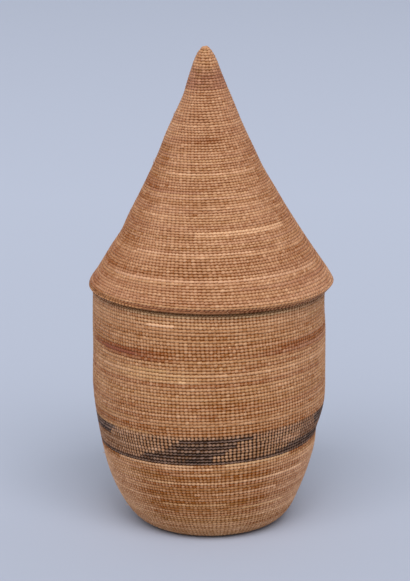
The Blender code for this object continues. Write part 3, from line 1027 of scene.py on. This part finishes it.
# %% [markdown]
# ## The body
# One plan runs from the crossed start in the middle of the base, over the flat base and up the
# wall to the rim, so every stake runs through without a break. The body could be one mesh, but
# the real one has lengths of wall with their own look, and a lighter piece is easier to handle.
# So the rows are cut where the part has its own lengths of wall, and again where a piece would
# get too heavy.

# %% Rows of the body
spans = (
    # start, end, first pitch, last pitch
    (START_RADIUS, BASE_RADIUS, 0.00180, 0.00168),
    (BASE_RADIUS, BAND_START, 0.00164, 0.00173),
    (BAND_START, BAND_END, 0.00174, 0.00174),
    (BAND_END, WALL_END, 0.00173, 0.00176),
)
span_rows = [row_stations(*span) for span in spans]
body_stations = np.concatenate([rows[0] for rows in span_rows])
body_pitches = np.concatenate([rows[1] for rows in span_rows])
body_radii = outline_point(BODY, body_stations, WALL / 2)[0]
body_spacings = np.linspace(0.00190, 0.00194, len(body_stations))
body_plan = plan_stakes(body_radii, body_pitches, body_spacings, BODY_LEAN, 11)
body_rows = rows_with_stakes(body_stations, body_pitches, body_radii, body_plan)
base_count, lower_count, band_count, upper_count = (len(rows[0]) for rows in span_rows)
lower_from = base_count
band_from = lower_from + lower_count
upper_from = band_from + band_count
print("rows:", base_count, lower_count, band_count, upper_count)
print("stakes in the first and the last row:", len(body_plan[0][1]), len(body_plan[-1][1]))

# %% Weave the base and the wall below the band
def weave_piece(name, first, last, seed, finish, node_name, dye=None, **look):
    """One piece of the body: rows first to last."""
    tubes = Tubes()
    weave(tubes, "body", on_body, body_rows[first:last], seed, dye, **look)
    return tubes.piece(name, *finish, node_name)


tan_body = (natural, "basket", "natural_fibre")
weave_piece("base_rows", 0, base_count, 21, tan_body, "base_disc", tint=-0.10)
lower_half = (lower_from + band_from) // 2
lower = dict(tint=-0.09, red=-0.16, dip=0.58, packed=0.40)
weave_piece("lower_rows_a", lower_from, lower_half, 22, tan_body, "wall_lower", **lower)
weave_piece("lower_rows_b", lower_half, band_from, 23, tan_body, "wall_lower", **lower)

# %% Weave the band
dyed_body = (dyed, "basket", "dyed_fibre")
weave_piece(
    "band_rows", band_from, upper_from, 24, dyed_body, "wall_band", dye_in_band,
    tint=0.05, red=-0.10,
)

# %% Weave the wall above the band in three pieces
thirds = np.linspace(upper_from, upper_from + upper_count, 4).astype(int)
for number, (first, last) in enumerate(zip(thirds[:-1], thirds[1:])):
    name = "upper_rows_" + "abc"[number]
    weave_piece(name, first, last, 25 + number, tan_body, "wall_upper", tint=-0.065, red=-0.18)

# %% The stakes of the body
STAKE_DYE = 0.75
body_stakes = Tubes()
in_band = STAKE_DYE * ((body_stations > BAND_START) & (body_stations < BAND_END))
stakes(body_stakes, on_body, body_stations, body_plan, 31, (-0.0008, 0.0010), dyes=in_band)
body_stakes.piece(
    "body_stakes", natural, "basket", "natural_fibre",
    "base_disc", "wall_lower", "wall_band", "wall_upper",
)

# %% [markdown]
# ## The crossed start
# The base begins with two layers of stakes laid across each other, seven one way and seven the
# other, woven over and under. They give twenty-eight ends, and four more stakes are slipped in
# for the first row. A plain disc would fill the place, but the crossing is the first thing a
# maker does, and it shows when the basket is turned over.

# %% The crossed stakes
CROSSING = 7
START_HALF_WIDTH = 0.00088
START_HALF_THICK = 0.00034
START_WAVE = 0.00036
# How far from the middle the splints go over and under each other, and how fast that fades
START_WOVEN = 0.0066
START_FADE = 0.001


def crossed_start():
    """Flat splints whose height is a cosine wave over the splints that they cross."""
    tubes = Tubes()
    rng = np.random.default_rng(41)
    reach = START_RADIUS + 0.0006
    order = np.arange(CROSSING) - CROSSING // 2
    places = START_RADIUS * np.sin(order * TURN / (4 * CROSSING))
    corner = np.arange(8) * TURN / 8 + TURN / 16
    wide = START_HALF_WIDTH * squarer(np.cos(corner), 0.6)
    high = START_HALF_THICK * squarer(np.sin(corner), 0.8)
    for way in (0, 1):
        for number, across in zip(order, places):
            length = np.sqrt(reach**2 - across**2)
            run = np.linspace(-length, length, 40)
            count = np.interp(run, places, order)
            inside = np.clip((START_WOVEN - np.abs(run)) / START_FADE, 0, 1)
            middle = WALL / 2 + START_WAVE * np.cos(np.pi * (count + number + way)) * inside
            side = across + wide[None, :] + 0 * run[:, None]
            along = run[:, None] + 0 * side
            ground = (along, side) if way == 0 else (side, along)
            points = np.stack([*ground, middle[:, None] + high[None, :]], axis=-1)
            tubes.add(points, False, 0.5 + rng.normal(0, 0.1), rng.normal(0, 0.25))
    return tubes


crossed_start().piece("crossed_start", natural, "basket", "natural_fibre", "base_start")

# %% [markdown]
# ## The lid
# The lid is woven the same way, from its tip outwards. It could be woven from the edge up, but
# then stakes would have to end one by one, where a maker adds them. Its rows are finer at the
# top than near the edge. The stakes are planned from the tip down, and the rows are then
# handed out to the tip, the reddish rows below it and the cone.

# %% Rows of the lid
TOP_ROW = LID[0][-1] - 0.0019
COARSER_FROM = 0.0310
SMALLEST_ROUND = 0.0018
cap_rows = row_stations(TOP_ROW, CAP_START, 0.00145, 0.00145)
dyed_rows = row_stations(CAP_START, DYED_START, 0.00145, 0.00142)
fine_rows = row_stations(DYED_START, COARSER_FROM, 0.00136, 0.00139)
coarse_rows = row_stations(COARSER_FROM, BINDING_HEIGHT, 0.00154, 0.00160)
lid_row_sets = (cap_rows, dyed_rows, fine_rows, coarse_rows)
lid_stations = np.concatenate([rows[0] for rows in lid_row_sets])
lid_pitches = np.concatenate([rows[1] for rows in lid_row_sets])
lid_radii = outline_point(LID, lid_stations, WALL / 2)[0]
lid_spacings = np.linspace(0.00174, 0.00206, len(lid_stations))
lid_plan = plan_stakes(lid_radii, lid_pitches, lid_spacings, LID_LEAN, 12)
lid_rounds = np.maximum(lid_radii, SMALLEST_ROUND)
lid_rows = rows_with_stakes(lid_stations, lid_pitches, lid_rounds, lid_plan)
cap_count = len(cap_rows[0])
dyed_count = len(dyed_rows[0])
cone_count = len(lid_stations) - cap_count - dyed_count
print("lid rows:", cap_count, dyed_count, cone_count, "stakes:", len(lid_plan[-1][1]))

# %% Weave the tip and the reddish rows
def weave_lid(name, first, last, seed, material, slot, node_name):
    """One piece of the lid: rows first to last, counted from the tip."""
    tubes = Tubes()
    weave(tubes, "lid", on_lid, lid_rows[first:last], seed, dip=0.21)
    return tubes.piece(name, material, "lid", slot, node_name)


cone_from = cap_count + dyed_count
weave_lid("tip_rows", 0, cap_count, 51, natural, "natural_fibre", "lid_tip_cap")
weave_lid("red_rows", cap_count, cone_from, 52, reddish, "reddish_fibre", "lid_dyed_rows")

# %% Weave the cone in three pieces with about as many stitches each
stitches = np.cumsum([len(angles) for *_, angles in lid_rows[cone_from:]])
cuts = cone_from + np.searchsorted(stitches, np.linspace(0, stitches[-1], 4)[1:3])
cuts = [cone_from, *cuts, len(lid_rows)]
for number, (first, last) in enumerate(zip(cuts[:-1], cuts[1:])):
    name = "cone_rows_" + "abc"[number]
    weave_lid(name, first, last, 53 + number, natural, "natural_fibre", "lid_cone")

# %% The stakes of the lid
lid_stakes = Tubes()
stakes(lid_stakes, on_lid, lid_stations, lid_plan, 32, (0.0008, -0.0010))
lid_stakes.piece(
    "lid_stakes", natural, "lid", "natural_fibre", "lid_cone", "lid_dyed_rows", "lid_tip_cap"
)

# %% [markdown]
# ## Bound edges
# Each free edge is bound: a soft strip is wound round the ends of the stakes and a thin hoop.
# The strip could be one long coil, but its turns lie so close that they press into a roll with
# ridges. So the roll is one grid, a rounded section carried round the edge. The ridges are the
# size of a cosine between them, and they slant because the strip advances as it winds.

# %% A wound roll
ROLL_SIDES = 14
ROLL_SQUARE = 0.85
STEPS_PER_WINDING = 6


def wound_roll(place, low, high, outer, inner, windings, ridge, seed):
    """Rounded section from low to high along and outer to inner in depth, with ridges.

    Outer is a number or a function of the angle. Ridge is a function of the angle too: how
    much smaller the section is in a valley between two windings.
    """
    rng = np.random.default_rng(seed)
    angle = np.arange(windings * STEPS_PER_WINDING) * TURN / (windings * STEPS_PER_WINDING)
    outer = outer(angle)[:, None] if callable(outer) else outer
    around = np.arange(ROLL_SIDES) * TURN / ROLL_SIDES
    wave = squarer(np.cos(around), ROLL_SQUARE)
    rise = squarer(np.sin(around), ROLL_SQUARE)
    count = windings * angle[:, None] / TURN + around / TURN
    jitter = 0.12 * wander(rng, angle, 60)[:, None]
    valley = 1 - np.abs(np.cos(np.pi * (count + jitter))) ** 0.5
    size = 1 - ridge(angle)[:, None] * valley
    along = (low + high) / 2 + (high - low) / 2 * rise[None, :] * size
    depth = (outer + inner) / 2 - (inner - outer) / 2 * wave[None, :] * size
    tone, hue = lengths_of_fibre(rng, angle, 0.08, 0.1)
    each = np.repeat(rng.normal(0, 0.07, windings), STEPS_PER_WINDING)
    tone = tone + each - 4 * ridge(angle) * valley[:, 0]
    return place(along, depth, angle[:, None] + 0 * along), tone, hue, angle


def evenly(amount):
    """The same ridge all the way round."""
    return lambda angle: amount + 0 * angle


def in_front(angle, left, right, fade):
    """1 from left to right in degrees about the front, 0 elsewhere, fading at both ends."""
    degrees = degrees_right(angle)
    return np.clip((degrees - left) / fade, 0, 1) * np.clip((right - degrees) / fade, 0, 1)


# %% [markdown]
# ## The edge of the lid
# The lid ends in a thin roll with a row of beads above it. In front the roll is worn smooth, and
# it is painted darker there as shade along the line under the lid. One even roll would be
# simpler, but this line divides the whole basket and the eye goes to it. So the ridges and the
# painted shade change with the angle.

# %% The lid's edge: a thin roll and a row of beads above it
LID_ROLL_HEIGHT = 0.0017
LID_WINDINGS = 166
SMOOTH_FRONT = (-40, 18, 8)
SHADED_FRONT = (-44, 34, 14)


def lid_edge_ridge(angle):
    """Ridges nearly vanish from 32 degrees left of the front to 10 right."""
    return 0.26 - 0.23 * in_front(angle, *SMOOTH_FRONT)


roll = Tubes()
points, tone, hue, angle = wound_roll(
    on_lid, 0.0, LID_ROLL_HEIGHT, -0.0003, WALL + 0.0002, LID_WINDINGS, lid_edge_ridge, 61
)
# Painted shade: the roll is darker in front, along the line under the lid
tone = tone + 0.08 - 0.22 * in_front(angle, *SHADED_FRONT)
roll.add(points, True, tone, hue, 0.0, angle * LID_EDGE_RADIUS)
edge_row = [(0.0021, 0.0013, LID_EDGE_RADIUS, lid_plan[-1][1])]
weave(roll, "edge", on_lid, edge_row, 65, tint=-0.10, red=0.30, dip=0.35)
roll.piece("lid_edge_roll", edging, "lid", "edge_fibre", "lid_edge_binding")

# %% [markdown]
# ## The rim of the body
# Right under the lid lies a low roll, with one row of fine beads below it, in a greyer fibre.
# It could be left out, because the lid's edge stands over it, but in front it shows as a thin
# dark line. So the roll is made, and it lies deeper in front than round the sides.
# In front the roll is also painted darker and browner, as painted shade in that line, and the row
# of beads below it is painted lighter against the lid's shadow.

# %% The body's rim: a low roll and a row of beads below it
RIM_END = BODY[0][-1]
RIM_WINDINGS = 182
SUNK_FRONT = (-58, 42, 16)


def rim_recess(angle):
    """How deep the roll lies: well in at the front, nearly flush round the sides."""
    return 0.0001 + 0.0010 * in_front(angle, *SUNK_FRONT)


rim = Tubes()
points, tone, hue, angle = wound_roll(
    on_body, RIM_END - 0.0013, RIM_END - 0.0002, rim_recess, WALL + 0.0001, RIM_WINDINGS,
    evenly(0.24), 62,
)
front = in_front(angle, *SUNK_FRONT)
# Painted shade: the roll is darker and browner in front, in the line under the lid's edge
rim.add(points, True, tone - 0.05 - 0.32 * front, hue + 0.1 - 0.3 * front, 0.0, angle * RIM_RADIUS)
rim_row = [(RIM_END - 0.0020, 0.0014, RIM_RADIUS, body_plan[-1][1])]
# Painted light: the tint makes this row lighter against the lid's shadow
weave(rim, "rim", on_body, rim_row, 71, tint=0.14, dip=0.7)
rim.piece("rim_roll", olive, "basket", "olive_fibre", "rim_binding")

# %% [markdown]
# ## The collar inside the mouth
# A second, narrower ring of weave stands inside the mouth, and the lid slips over it. It is
# hidden when the lid is on, and a smooth ring would do for a closed basket. But the lid lifts
# off, so the collar is woven like the walls. Its look is guessed from other baskets of this
# kind.

# %% Weave the collar
COLLAR_NECK = COLLAR_TOP - 0.0022
COLLAR_PITCH = 0.0018
COLLAR_SPACING = 0.0021
collar_stations, collar_pitches = row_stations(
    COLLAR_BOTTOM, COLLAR_NECK, COLLAR_PITCH, COLLAR_PITCH
)
collar_radii = collar_radius(collar_stations) - COLLAR_WALL / 2
collar_rounds = np.full(len(collar_stations), collar_radii[0])
collar_spacings = np.full(len(collar_stations), COLLAR_SPACING)
collar_plan = plan_stakes(collar_rounds, collar_pitches, collar_spacings, BODY_LEAN, 13)
collar_rows = rows_with_stakes(collar_stations, collar_pitches, collar_radii, collar_plan)
collar = Tubes()
weave(collar, "collar", on_collar, collar_rows, 71, half_wall=COLLAR_WALL / 2, tint=0.05)
stakes(collar, on_collar, collar_stations, collar_plan, 33, (-0.0006, 0.0010), COLLAR_WALL / 2)
collar.piece("collar_rows", natural, "basket", "natural_fibre", "collar")

# %% Bind the collar's top
COLLAR_WINDINGS = 150
collar_edge = Tubes()
points, tone, hue, angle = wound_roll(
    on_collar, COLLAR_NECK, COLLAR_TOP, 0.0, COLLAR_WALL, COLLAR_WINDINGS, evenly(0.16), 64
)
collar_edge.add(points, True, tone, hue, 0.0, angle * RIM_RADIUS)
collar_edge.piece("collar_edge_roll", cane, "basket", "cane", "collar_binding")

# %% [markdown]
# ## The thread that sews the collar in
# A thread of two plies runs round the inside in waves and holds the collar to the wall. One
# plain tube would do from afar, but it would look like wire through the open mouth. So each
# ply is a thin tube, and the two turn about each other along the wave.

# %% Two plies along a wave
THREAD_WAVES = 24
THREAD_RISE = 0.0030
THREAD_BELOW_RIM = 0.0075
THREAD_CLEAR = 0.0005
THREAD_TWISTS = 240
PLY_OFFSET = 0.00022
PLY_RADIUS = 0.00028


def sewing_thread():
    """Two plies twisted together along height = middle + rise * sin(waves * angle)."""
    tubes = Tubes()
    steps = THREAD_WAVES * 24
    angle = np.arange(steps) * TURN / steps
    radius = RIM_RADIUS - WALL - BINDING_PROUD - 2 * GAP - COLLAR_WALL - THREAD_CLEAR
    height = RIM_HEIGHT - THREAD_BELOW_RIM + THREAD_RISE * np.sin(THREAD_WAVES * angle)
    steep = THREAD_RISE * THREAD_WAVES * np.cos(THREAD_WAVES * angle) / radius
    corner = np.arange(6) * TURN / 6
    for ply in (0, 1):
        twist = THREAD_TWISTS * angle + np.pi * ply
        up = height + PLY_OFFSET * np.sin(twist) / np.hypot(1, steep)
        inwards = PLY_OFFSET * np.cos(twist)
        across = PLY_RADIUS * np.sin(corner)[None, :] / np.hypot(1, steep)[:, None]
        turned = angle[:, None] - across * steep[:, None] / radius
        away = radius - inwards[:, None] - PLY_RADIUS * np.cos(corner)[None, :]
        x, y = away * np.cos(turned), away * np.sin(turned)
        tubes.add(np.stack([x, y, up[:, None] + across], -1), True, 0.62, -0.2, 0.0, angle * radius)
    return tubes


sewing_thread().piece("collar_thread", cane, "basket", "sewing_thread", "collar_stitching")

# %% [markdown]
# ## The tip
# Inside the tip the first stakes of the lid are gathered into a bundle, and their ends come out
# at the very top, where a strand wound twice round them holds them as a small flat knot. A
# cone would close the tip, but the ends and the knot catch the light there. So each end is a
# tube along its own path, and so is the strand.

# %% A round tube along a path
def tube_along(path, thick, sides, taper=0.0):
    """A round tube about a path, thinner towards its end by the taper."""
    way = np.gradient(path, axis=0)
    way = way / np.linalg.norm(way, axis=1, keepdims=True)
    side = np.cross(way, [0.31, 0.87, 0.39])
    side = side / np.linalg.norm(side, axis=1, keepdims=True)
    other = np.cross(way, side)
    corner = np.arange(sides) * TURN / sides
    size = thick * (1 - taper * np.linspace(0, 1, len(path)))[:, None, None]
    cosine, sine = np.cos(corner)[None, :, None], np.sin(corner)[None, :, None]
    return path[:, None] + size * (cosine * side[:, None] + sine * other[:, None])


def round_the_tip(spread, turn, height):
    """A path about the lid's centre line: x and y on a circle that may change as it rises."""
    x = spread * np.cos(turn) + lid_centre(height)
    return np.stack([x, spread * np.sin(turn), height], axis=-1)


# %% The bundle of stake ends and the knot
BUNDLE_LOW = LID_TOP - 0.0140
BUNDLE_RINGS = ((9, 1.0), (5, 0.45))
BUNDLE_RADIUS = 0.00105
BUNDLE_SPREAD = 0.19
BUNDLE_TWIST = 40
END_THICK = 0.00050
# The knot: how far under the top it begins, its radius there, and how much narrower and higher
# it gets in each turn
KNOT_BELOW_TOP = 0.0012
KNOT_RADIUS = 0.0019
KNOT_NARROWER = 0.00050
KNOT_RISE = 0.00036
KNOT_TURNS = 2.2
KNOT_THICK = 0.00042


def tip_bundle():
    """Stake ends on two rings that twist as they rise and spread as they go down."""
    tubes = Tubes()
    rng = np.random.default_rng(81)
    for count, share in BUNDLE_RINGS:
        for start in np.arange(count) * TURN / count:
            height = np.linspace(BUNDLE_LOW, LID_TOP - rng.uniform(0.0002, 0.0009), 22)
            spread = share * (BUNDLE_RADIUS + BUNDLE_SPREAD * (LID_TOP - height)) - 0.0002
            path = round_the_tip(spread, start + BUNDLE_TWIST * (height - BUNDLE_LOW), height)
            tubes.add(tube_along(path, END_THICK, 4), False, 0.6 + rng.normal(0, 0.1))
    turn = np.linspace(0, KNOT_TURNS * TURN, 70)
    height = LID_TOP - KNOT_BELOW_TOP + KNOT_RISE * turn / TURN
    path = round_the_tip(KNOT_RADIUS - KNOT_NARROWER * turn / TURN, turn, height)
    tubes.add(tube_along(path, KNOT_THICK, 6), False, 0.55, 0.05)
    return tubes


tip_bundle().piece("tip_knot", natural, "lid", "stake_ends", "lid_stake_bundle")

# %% [markdown]
# ## Loose ends
# A hand-made basket sheds: the odd fibre end works loose and stands off the surface. Hair
# particles could do this, but they don't export. So the ends are hair-thin tapered tubes with
# a bend, and there are only a few.

# %% Fibre ends
FIBRE_THICK = 0.00014


def fibre_end(place, along, degrees, length, lift, sideways, bend):
    """A curl that leaves the surface: a sine outwards, a parabola sideways, straight along."""
    share = np.linspace(0, 1, 14)
    angle = FRONT + np.radians(degrees)
    radius = np.linalg.norm(place(along, 0.0, angle)[:2])
    turn = angle + (sideways * share + bend * share**2) * length / radius
    rise = along + length * np.sqrt(max(0.0, 1 - sideways**2)) * share
    path = place(rise, 0.0004 - lift * np.sin(share * 2.2), turn)
    return tube_along(path, FIBRE_THICK, 4, 0.6)


def scattered_ends(place, low, high, count, seed):
    """Short fibre ends here and there round a surface."""
    rng = np.random.default_rng(seed)
    tubes = Tubes()
    for _ in range(count):
        grid = fibre_end(
            place, rng.uniform(low, high), rng.uniform(-180, 180), rng.uniform(0.0015, 0.0045),
            rng.uniform(0.0004, 0.0014), rng.uniform(-0.95, 0.95), rng.uniform(-0.6, 0.6),
        )
        tubes.add(grid, False, 0.9, -0.2)
    return tubes


lid_ends = scattered_ends(on_lid, 0.004, 0.120, 34, 91)
lid_ends.add(fibre_end(on_lid, 0.0004, 9, 0.0042, 0.0012, -0.9, 0.3), False, 1.0, -0.3)
lid_ends.piece("lid_fibre_ends", natural, "lid", "natural_fibre", "lid_cone")
body_ends = scattered_ends(on_body, 0.045, WALL_END - 0.003, 30, 92)
body_ends.piece("body_fibre_ends", natural, "basket", "natural_fibre", "wall_upper")

# %% [markdown]
# ## The two hoops
# The hoops lie inside the rolls, where they can't be seen. They could be made again as finer
# rings, but nothing of it would show. So they stay as they are in the part and only get a cane
# finish with a fine grain of noise.

# %% Cane for the hoops
hoop_cane, tree, shader = plain_material("hoop_cane", 0.55)
colour = blend_colours(tree, (noise_in_place(tree, 900.0), 0), (150, 104, 62), (212, 168, 120))
link(tree, colour[0], colour[1], shader, "Base Color")
for name in ("rim_hoop", "lid_edge_hoop"):
    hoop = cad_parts[name]
    hoop.data.materials.clear()
    hoop.data.materials.append(hoop_cane)
    print(name, "keeps its mesh and gets", hoop_cane.name)

# %% [markdown]
# ## The floor
# The basket stands on plain pale paper with a cool grey tint. The paper is painted slowly paler
# towards the back, as painted light for the lamps' light that falls off with distance. A curved
# sweep of paper would do the same in a studio. A flat sheet whose painted shade changes with the
# distance is simpler, because there is no bend to light.

# %% Floor
FLOOR_HALF = 6.0
FLOOR_TINT = (194, 202, 221)
# Distance behind the basket's middle in metres, and the painted light: how bright the paper is
# there
FLOOR_SHADES = ((-0.20, 0.97), (-0.02, 0.99), (0.20, 1.01), (0.83, 1.05), (2.60, 1.06))


def shade_by_distance(tree):
    """A ramp over the sheet's own Y that holds the shades at their distances."""
    where = node(tree, "ShaderNodeTexCoord")
    split = node(tree, "ShaderNodeSeparateXYZ")
    link(tree, where, "Object", split, 0)
    share = node(tree, "ShaderNodeMapRange")
    near, far = FLOOR_SHADES[0][0], FLOOR_SHADES[-1][0]
    share.inputs["From Min"].default_value = near
    share.inputs["From Max"].default_value = far
    link(tree, split, 1, share, 0)
    ramp = node(tree, "ShaderNodeValToRGB")
    stops = ramp.color_ramp.elements
    while len(stops) < len(FLOOR_SHADES):
        stops.new(0.5)
    for stop, (place, shade) in zip(stops, FLOOR_SHADES):
        stop.position = (place - near) / (far - near)
        stop.color = (*linear(np.array(FLOOR_TINT) * shade), 1.0)
    link(tree, share, 0, ramp, 0)
    return ramp


corners = np.array([[-1, -1, 0], [1, -1, 0], [1, 1, 0], [-1, 1, 0]]) * FLOOR_HALF
sheet = mesh_from("floor", corners - [0, 0, 0.00005], np.array([[0, 1, 2, 3]]))
paper, tree, shader = plain_material("floor_paper", 0.9, 0.1)
link(tree, shade_by_distance(tree), 0, shader, "Base Color")
sheet.materials.append(paper)
new_object("floor", sheet)
print("floor in metres:", 2 * FLOOR_HALF, "shades:", len(FLOOR_SHADES))

# %% [markdown]
# ## The light
# In a studio this would be two large soft boxes high in front, the right one the stronger, in
# a pale room. A picture of a studio could light it all, but two square lamps and a plain world
# are easier to balance. The camera sees the world as a backdrop in the floor's colour, while
# the basket gets an even, weaker light from it.

# %% Light
LAMP_SIZE = 6.0
LAMP_TARGET = Vector((0, 0, 0.12))
LAMPS = (("left", (-3.1, -5.9, 7.6), 335), ("right", (2.2, -5.7, 8.0), 478))
for name, place, watts in LAMPS:
    lamp = bpy.data.lights.new(name, "AREA")
    lamp.shape = "SQUARE"
    lamp.size = LAMP_SIZE
    lamp.energy = watts
    made = new_object(name, lamp)
    made.location = place
    made.rotation_euler = (LAMP_TARGET - Vector(place)).to_track_quat("-Z", "Y").to_euler()
    print("lamp", name, "watts", watts)

# %% Backdrop and even light
ROOM_COLOUR = (0.97, 0.98, 1.0, 1.0)
ROOM_LIGHT = 0.36
BACKDROP = (190, 198, 217)

world = bpy.data.worlds.new("studio")
bpy.context.scene.world = world
world.use_nodes = True
tree = world.node_tree
tree.nodes.clear()
path = node(tree, "ShaderNodeLightPath")
seen = maths(tree, "MAXIMUM", (path, "Is Camera Ray"), (path, "Is Glossy Ray"))
seen = maths(tree, "MAXIMUM", seen, (path, "Is Transmission Ray"))
around = node(tree, "ShaderNodeBackground")
around.inputs["Color"].default_value = ROOM_COLOUR
around.inputs["Strength"].default_value = ROOM_LIGHT
backdrop = node(tree, "ShaderNodeBackground")
backdrop.inputs["Color"].default_value = (*linear(BACKDROP), 1.0)
either = node(tree, "ShaderNodeMixShader")
link(tree, *seen, either, 0)
link(tree, around, 0, either, 1)
link(tree, backdrop, 0, either, 2)
link(tree, either, 0, node(tree, "ShaderNodeOutputWorld"), 0)
print("even light:", ROOM_LIGHT)

# %% [markdown]
# ## The camera
# The camera looks down by 14.3 degrees from about a metre away. A camera can be set by eye, but
# the rows of a round basket are ellipses, and how flat they are gives the angle. The focal
# length is in pixels of the photograph and is turned into millimetres here.

# %% Camera
PITCH = np.radians(14.3)
CAMERA_DISTANCE = 1.040
AIM = np.array([-0.0021, 0.0, 0.1229])
PHOTO_HEIGHT = 581
FOCAL_PIXELS = 2000.0
SENSOR = 36.0

lens = bpy.data.cameras.new("camera")
lens.sensor_width = SENSOR
lens.lens = SENSOR * FOCAL_PIXELS / PHOTO_HEIGHT
camera = new_object("camera", lens)
camera.location = AIM + CAMERA_DISTANCE * np.array([0, -np.cos(PITCH), np.sin(PITCH)])
camera.rotation_euler = (np.pi / 2 - PITCH, 0, 0)
bpy.context.scene.camera = camera
bpy.context.scene.view_settings.view_transform = "Standard"
print("camera at", [round(value, 4) for value in camera.location], "lens", round(lens.lens, 2))
